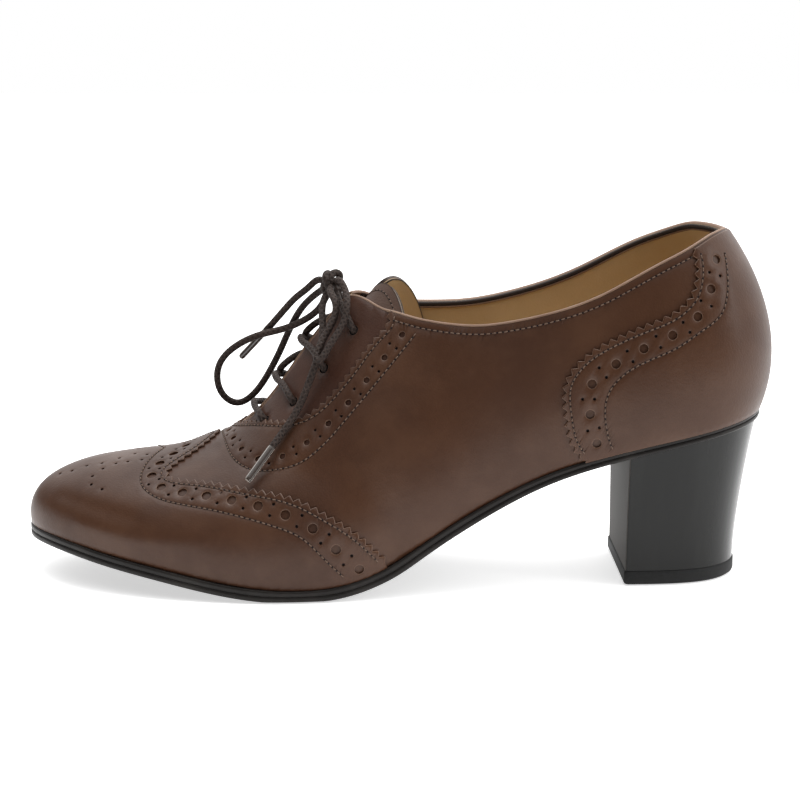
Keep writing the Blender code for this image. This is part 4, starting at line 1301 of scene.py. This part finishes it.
def sheetPiece(name, top, bottom, across, look, nodes=()):
    # A sheet between two skins, whose places run across and then from the root to the end
    total = len(top)
    rowsOf = total // across
    faces = []
    for i in range(rowsOf - 1):
        for a in range(i * across, (i + 1) * across - 1):
            faces.append((a + 1, a + across + 1, a + across, a))
    edge = ([i * across for i in range(rowsOf)] + [(rowsOf - 1) * across + j for j in range(1, across)]
            + [i * across + across - 1 for i in range(rowsOf - 2, -1, -1)] + list(range(across - 2, 0, -1)))
    walls = [(a, b, b + total, a + total) for a, b in zip(edge, edge[1:] + edge[:1])]
    back = [tuple(i + total for i in face[::-1]) for face in faces]
    rim = np.zeros(total)
    rim[edge] = 1.0
    values = {"rim": np.concatenate([rim, rim]), "dentShade": np.zeros(2 * total)}
    return addPiece(name, np.concatenate([top, bottom]), faces + back + walls, look, nodes, 40.0, values)


parts, shares = np.meshgrid(np.linspace(0, 1, tongue["rows"]), np.linspace(-1, 1, tongue["across"]),
                            indexing="ij")
outerSkin, innerSkin, liningSkin = [onTongue(parts.ravel(), shares.ravel(), depth)
                                    for depth in (0.0, tongue["leather"], tongue["thick"])]
sheetPiece("tongue_leather", outerSkin, innerSkin, tongue["across"], tongueLook, ["tongue"])
sheetPiece("tongue_lining", innerSkin, liningSkin, tongue["across"], liningLook)
tongueEnd = onTongue(np.ones(90), np.linspace(-1, 1, 90), tongue["thick"] - tongue["edgeRound"])
tube("tongue_edge", tongueEnd, tongue["edgeRound"], bindingLook, sides=8)
print("tongue ready")

# Sole, insole and heel
bottomParts = {
    "ledge": 0.0020,
    "round": 0.0008,
    "ledgeShare": ((0.0, 0.60), (0.1, 0.85), (0.3, 1.00), (0.45, 0.70), (0.6, 0.40), (0.8, 0.25), (1.0, 0.25)),
    "substance": ((0.0, 1.05), (0.3, 1.00), (0.55, 1.00), (0.75, 0.85), (1.0, 0.80)),
    # inwards as a share of the rounding, depth as a share of the sole's edge
    "edge": ((3.0, 0.00), (0.6, 0.00), (0.25, 0.03), (0.05, 0.10), (0.0, 0.20), (0.0, 0.38), (0.15, 0.42),
             (0.50, 0.46), (0.50, 0.51), (0.15, 0.55), (0.0, 0.60), (0.0, 0.80), (0.10, 0.88), (0.35, 0.95),
             (0.9, 1.00), (3.5, 1.00)),
    "insole": 0.0018,
    "insoleIn": 0.0021,
    # height as a share of the insole, inwards
    "insoleEdge": ((1.0, 0.0008), (0.8, 0.0003), (0.0, 0.0)),
    "breast": -0.0199,
    "rake": 0.0059,
    "narrowing": 0.0037,
    "taper": 1.6,
    "heelRings": 26,
    "heelSpots": 60,
    "heelInto": 0.0001,  # how far it goes into the sole and the top piece
    "frontRound": 0.0011,
    "frontSteps": (0.0, 0.04, 0.12, 0.28, 0.55, 1.0),
    "frontReach": 0.0012,
    "topPiece": 0.0045,
    "proud": 0.0004,
    # height and how proud it stands, as shares
    "topPieceEdge": ((1.0, -0.3), (0.97, 0.5), (0.88, 1.0), (0.16, 1.0), (0.05, 0.5), (0.0, -0.3)),
}
ledgeAt = spline(*zip(*[(x, bottomParts["ledge"] * share) for x, share in bottomParts["ledgeShare"]]))
substanceAt = spline(*zip(*[(x, lastShape["sole"] * share) for x, share in bottomParts["substance"]]))


def slab(name, rings, look, nodes):
    # rings: outlines from top to bottom, each the outer side then the inner side from front to back
    count = len(rings[0][0])
    size = 2 * count
    points = np.concatenate([np.concatenate(ring) for ring in rings])
    loop = list(range(count)) + list(range(size - 1, count - 1, -1))
    faces = []
    for start in range(0, (len(rings) - 1) * size, size):
        for i, j in zip(loop, loop[1:] + loop[:1]):
            faces.append((start + i, start + size + i, start + size + j, start + j))
    last = (len(rings) - 1) * size
    for i in range(count - 1):
        cap = (i, i + 1, count + i + 1, count + i)
        faces += [cap, tuple(last + place for place in cap[::-1])]
    # Points that share a place at the front and the back become one
    places = {}
    index = [places.setdefault(tuple(np.round(point * 1e7).astype(int)), len(places)) for point in points]
    kept = points[np.unique(index, return_index=True)[1]]
    merged = [list(dict.fromkeys(index[i] for i in face)) for face in faces]
    return addPiece(name, kept, [face for face in merged if len(face) > 2], look, nodes, 45.0)


def soleBottom(x):
    share = shareOf(x)
    small = 0.001
    slope = (baseHeight(share + small) - baseHeight(share - small)) / (2 * small * lastLength)
    depth = substanceAt(share) * np.sqrt(1 + slope ** 2)
    return np.maximum(baseHeight(share) - lastShape["gap"] - depth, 0.0)


def outlineAt(q, offset):
    x, y = footAt(q)
    ox, oy = footOutward(q)
    return x + ox * offset, y + oy * offset


halfRows = np.concatenate([np.linspace(0, 1, 24)[:-1], np.linspace(1, 12, 150)[:-1], np.linspace(12, 13, 24)])
soleRings = []
for taken, depth in bottomParts["edge"]:
    ring = []
    for q in (halfRows, fullRing - halfRows):
        x, y = outlineAt(q, ledgeAt(alongAt(q)) - bottomParts["round"] * taken)
        above = baseHeight(shareOf(x)) - lastShape["gap"]
        ring.append(np.stack([x, y, above + (soleBottom(x) - above) * depth], -1))
    soleRings.append(ring)
slab("sole", soleRings, soleLook, ["outsole"])

insoleRings = []
for height, taken in bottomParts["insoleEdge"]:
    ring = []
    for q in (halfRows, fullRing - halfRows):
        x, y = outlineAt(q, np.full_like(q, -bottomParts["insoleIn"] - taken))
        ring.append(np.stack([x, y, baseHeight(shareOf(x)) + bottomParts["insole"] * height], -1))
    insoleRings.append(ring)
slab("sock_lining", insoleRings, liningLook, ["insole"])


def seatOutline(count):
    q = np.linspace(8.5, backRow, 1600)
    sides = []
    for turned in (q, fullRing - q):
        x, y = outlineAt(turned, ledgeAt(alongAt(turned)) - bottomParts["round"] - lastShape["gap"])
        begin = int(np.argmax(x >= bottomParts["breast"]))
        picks = np.round(np.linspace(begin, len(q) - 1, count)).astype(int)
        xs = x[picks]
        xs[0] = bottomParts["breast"]
        sides.append((xs, y[picks]))
    return sides


def frontFirst(sides):
    # Extra points close to the heel's front, so that its corners can be rounded
    count = len(bottomParts["frontSteps"])
    result = []
    for x, y in sides:
        start = np.array(bottomParts["frontSteps"]) * bottomParts["frontReach"] + x[0]
        rest = x > start[-1] + 0.0002
        result.append((np.concatenate([start, x[rest]]), np.concatenate([np.interp(start, x, y), y[rest]])))
    shared = min(len(x) for x, _ in result) - count
    return [tuple(np.concatenate([line[:count], line[-shared:]]) for line in side) for side in result]


def heelSection(sides, taper, proud):
    # One level of the heel, with the sharp corners of its front taken off
    result = []
    for x, y in sides:
        size = x[-1] - bottomParts["breast"]
        width = np.max(np.abs(y))
        along = 1 + (2 * proud - bottomParts["rake"] * taper) / size
        across = 1 + (proud - bottomParts["narrowing"] * taper) / width
        x = bottomParts["breast"] - proud + (x - bottomParts["breast"]) * along
        y = y * across
        near = np.clip((x - x[0]) / bottomParts["frontRound"], 0, 1)
        result.append((x, y - np.sign(y) * bottomParts["frontRound"] * (1 - np.sqrt(1 - (1 - near) ** 2))))
    return result


seat = frontFirst(seatOutline(bottomParts["heelSpots"]))
heelRings = []
for down in np.linspace(0, 1, bottomParts["heelRings"]):
    ring = []
    for x, y in heelSection(seat, 1 - (1 - down) ** bottomParts["taper"], 0.0):
        above = soleBottom(x) - bottomParts["heelInto"]
        below = bottomParts["topPiece"] + bottomParts["heelInto"]
        ring.append(np.stack([x, y, above + (below - above) * down], -1))
    heelRings.append(ring)
heel = slab("block_heel", heelRings, heelLook, ["heel_block"])
heel.data.materials.append(breastLook)
for polygon in heel.data.polygons:
    polygon.material_index = int(polygon.normal.x < -0.6)
pieceRings = []
for height, proud in bottomParts["topPieceEdge"]:
    section = heelSection(seat, 1.0, bottomParts["proud"] * proud)
    level = bottomParts["topPiece"] * height
    pieceRings.append([np.stack([x, y, np.full_like(x, level)], -1) for x, y in section])
slab("heel_tip", pieceRings, topPieceLook, ["top_piece"])
print("bottom ready")

# Stitches, each with a needle hole ahead of it
stitching = {
    "pitch": 0.00180,
    "length": 0.00125,
    "thick": 0.00040,
    "dip": 0.00022,  # how far its ends go down
    "hole": 0.00030,
    "rise": 0.00006,
    # a stitch's rings: place along it, thickness; a needle hole's rings: width, height
    "rings": ((-1.0, 0.35), (-0.72, 0.9), (0.0, 1.05), (0.72, 0.9), (1.0, 0.35)),
    "holeRings": ((0.2, 0.14), (1.0, 0.0175), (1.0, -0.21)),
}
sixths = [k * math.pi / 3 for k in range(6)]
stitchPoints = []
stitchFaces = []
needlePoints = []
needleFaces = []


def sewn(place, normal, heading):
    side = np.cross(normal, heading)
    half = stitching["length"] / 2
    width = stitching["thick"] / 2
    template = np.array([
        (along * half, math.cos(angle) * width * size,
         math.sin(angle) * width * size - abs(along) ** 3 * stitching["dip"])
        for along, size in stitching["rings"] for angle in sixths])
    points = (place[:, None] + template[None, :, :1] * heading[:, None] + template[None, :, 1:2] * side[:, None]
              + template[None, :, 2:] * normal[:, None])
    for n in range(len(place)):
        stitchFaces.extend(tubeFaces(len(stitching["rings"]), 6, len(stitchPoints)))
        stitchPoints.extend(points[n])
        needleFaces.extend(tubeFaces(len(stitching["holeRings"]), 6, len(needlePoints), turned=True))
        centre = place[n] + heading[n] * stitching["pitch"] / 2
        for size, rise in stitching["holeRings"]:
            for angle in sixths:
                needlePoints.append(centre + stitching["hole"] * (
                    size * math.cos(angle) * heading[n] + size * math.sin(angle) * side[n] + rise * normal[n]))


def stitchRow(seam, begin, end, inset, lift):
    s = seam.every(stitching["pitch"], begin, end)
    q, v = seam.beside(s, inset)
    sewn(onLast(q, v, np.full_like(q, lift + stitching["rise"])), outwardAt(q, v), seam.heading(s))


def stitchTongue(inset):
    # Along the free end, from the outer edge to the inner one
    part = 1 - inset / tongue["length"]
    shares = np.linspace(-0.94, 0.94, 400)
    marks = marksAlong(onTongue(part, shares, 0.0))
    wanted = np.interp(np.arange(0, marks[-1], stitching["pitch"]), marks, shares)
    heading = unit(onTongue(part, wanted + 0.01, 0.0) - onTongue(part, wanted - 0.01, 0.0))
    normal = unit(onTongue(part, wanted, -0.001) - onTongue(part, wanted, 0.001))
    sewn(onTongue(part, wanted, -stitching["rise"]), normal, heading)


for layer, seams in (("vamp", vampSeams), ("overlay", wingSeams + counterSeams)):
    for seam, begin, end, inset in seams:
        stitchRow(seam, begin, end, inset, leathers[layer][0])
stitchTongue(tongue["stitchIn"])
# The needle holes get the near-black painted shade of the holes
addPiece("needle_holes", needlePoints, needleFaces, holeShadeLook, sharp=60.0)
addPiece("stitching", stitchPoints, stitchFaces, threadLook, sharp=60.0)
print("stitches ready")

# Dark discs under the small holes and in the lace holes, as painted shade at the bottom of the holes
shadeDiscs = {
    "overlay": 0.00025,  # how high it lies
    "laceBand": -0.00060,
    "eyelets": -0.0013,
    "wider": 0.0001,
    "thick": 0.0002,
    "sides": 10,
}
shadePoints = []
shadeFaces = []
smallOnes = [hole for hole in wingBand + figure + counterBand if hole[2] < cutting["largeOver"]]
smallInBand = [hole for hole in laceBand if hole[2] < cutting["largeOver"]]
for key, holes in (("overlay", smallOnes), ("laceBand", smallInBand), ("eyelets", eyelets)):
    lift = shadeDiscs[key]
    for q, v, radius in holes:
        shadeFaces += tubeFaces(2, shadeDiscs["sides"], len(shadePoints), turned=True)
        ring = holeRings(np.array(q), np.array(v), (radius + shadeDiscs["wider"],), shadeDiscs["sides"])[0]
        for level in (lift, lift - shadeDiscs["thick"]):
            shadePoints.extend(onLast(*ring, np.full(shadeDiscs["sides"], level)))
addPiece("hole_shade", shadePoints, shadeFaces, holeShadeLook, sharp=60.0)

# Floor
floorMiddle = (0, studio["floorSize"] / 2 - studio["floorFront"], -studio["floorDrop"])
bpy.ops.mesh.primitive_grid_add(x_subdivisions=8, y_subdivisions=8, size=studio["floorSize"],
                                location=floorMiddle)
floor = bpy.context.active_object
floor.name = "floor"
floorLook = Finish("floor")
floor.data.materials.append(floorLook.wear({
    "Base Color": floorLook.blend(floorLook.noise(3.0, 2.0, 0.5) * 0.05, *studio["floorColours"]),
    "Roughness": 0.7, "Emission Color": (1.0, 1.0, 1.0), "Emission Strength": studio["floorGlow"],
}))
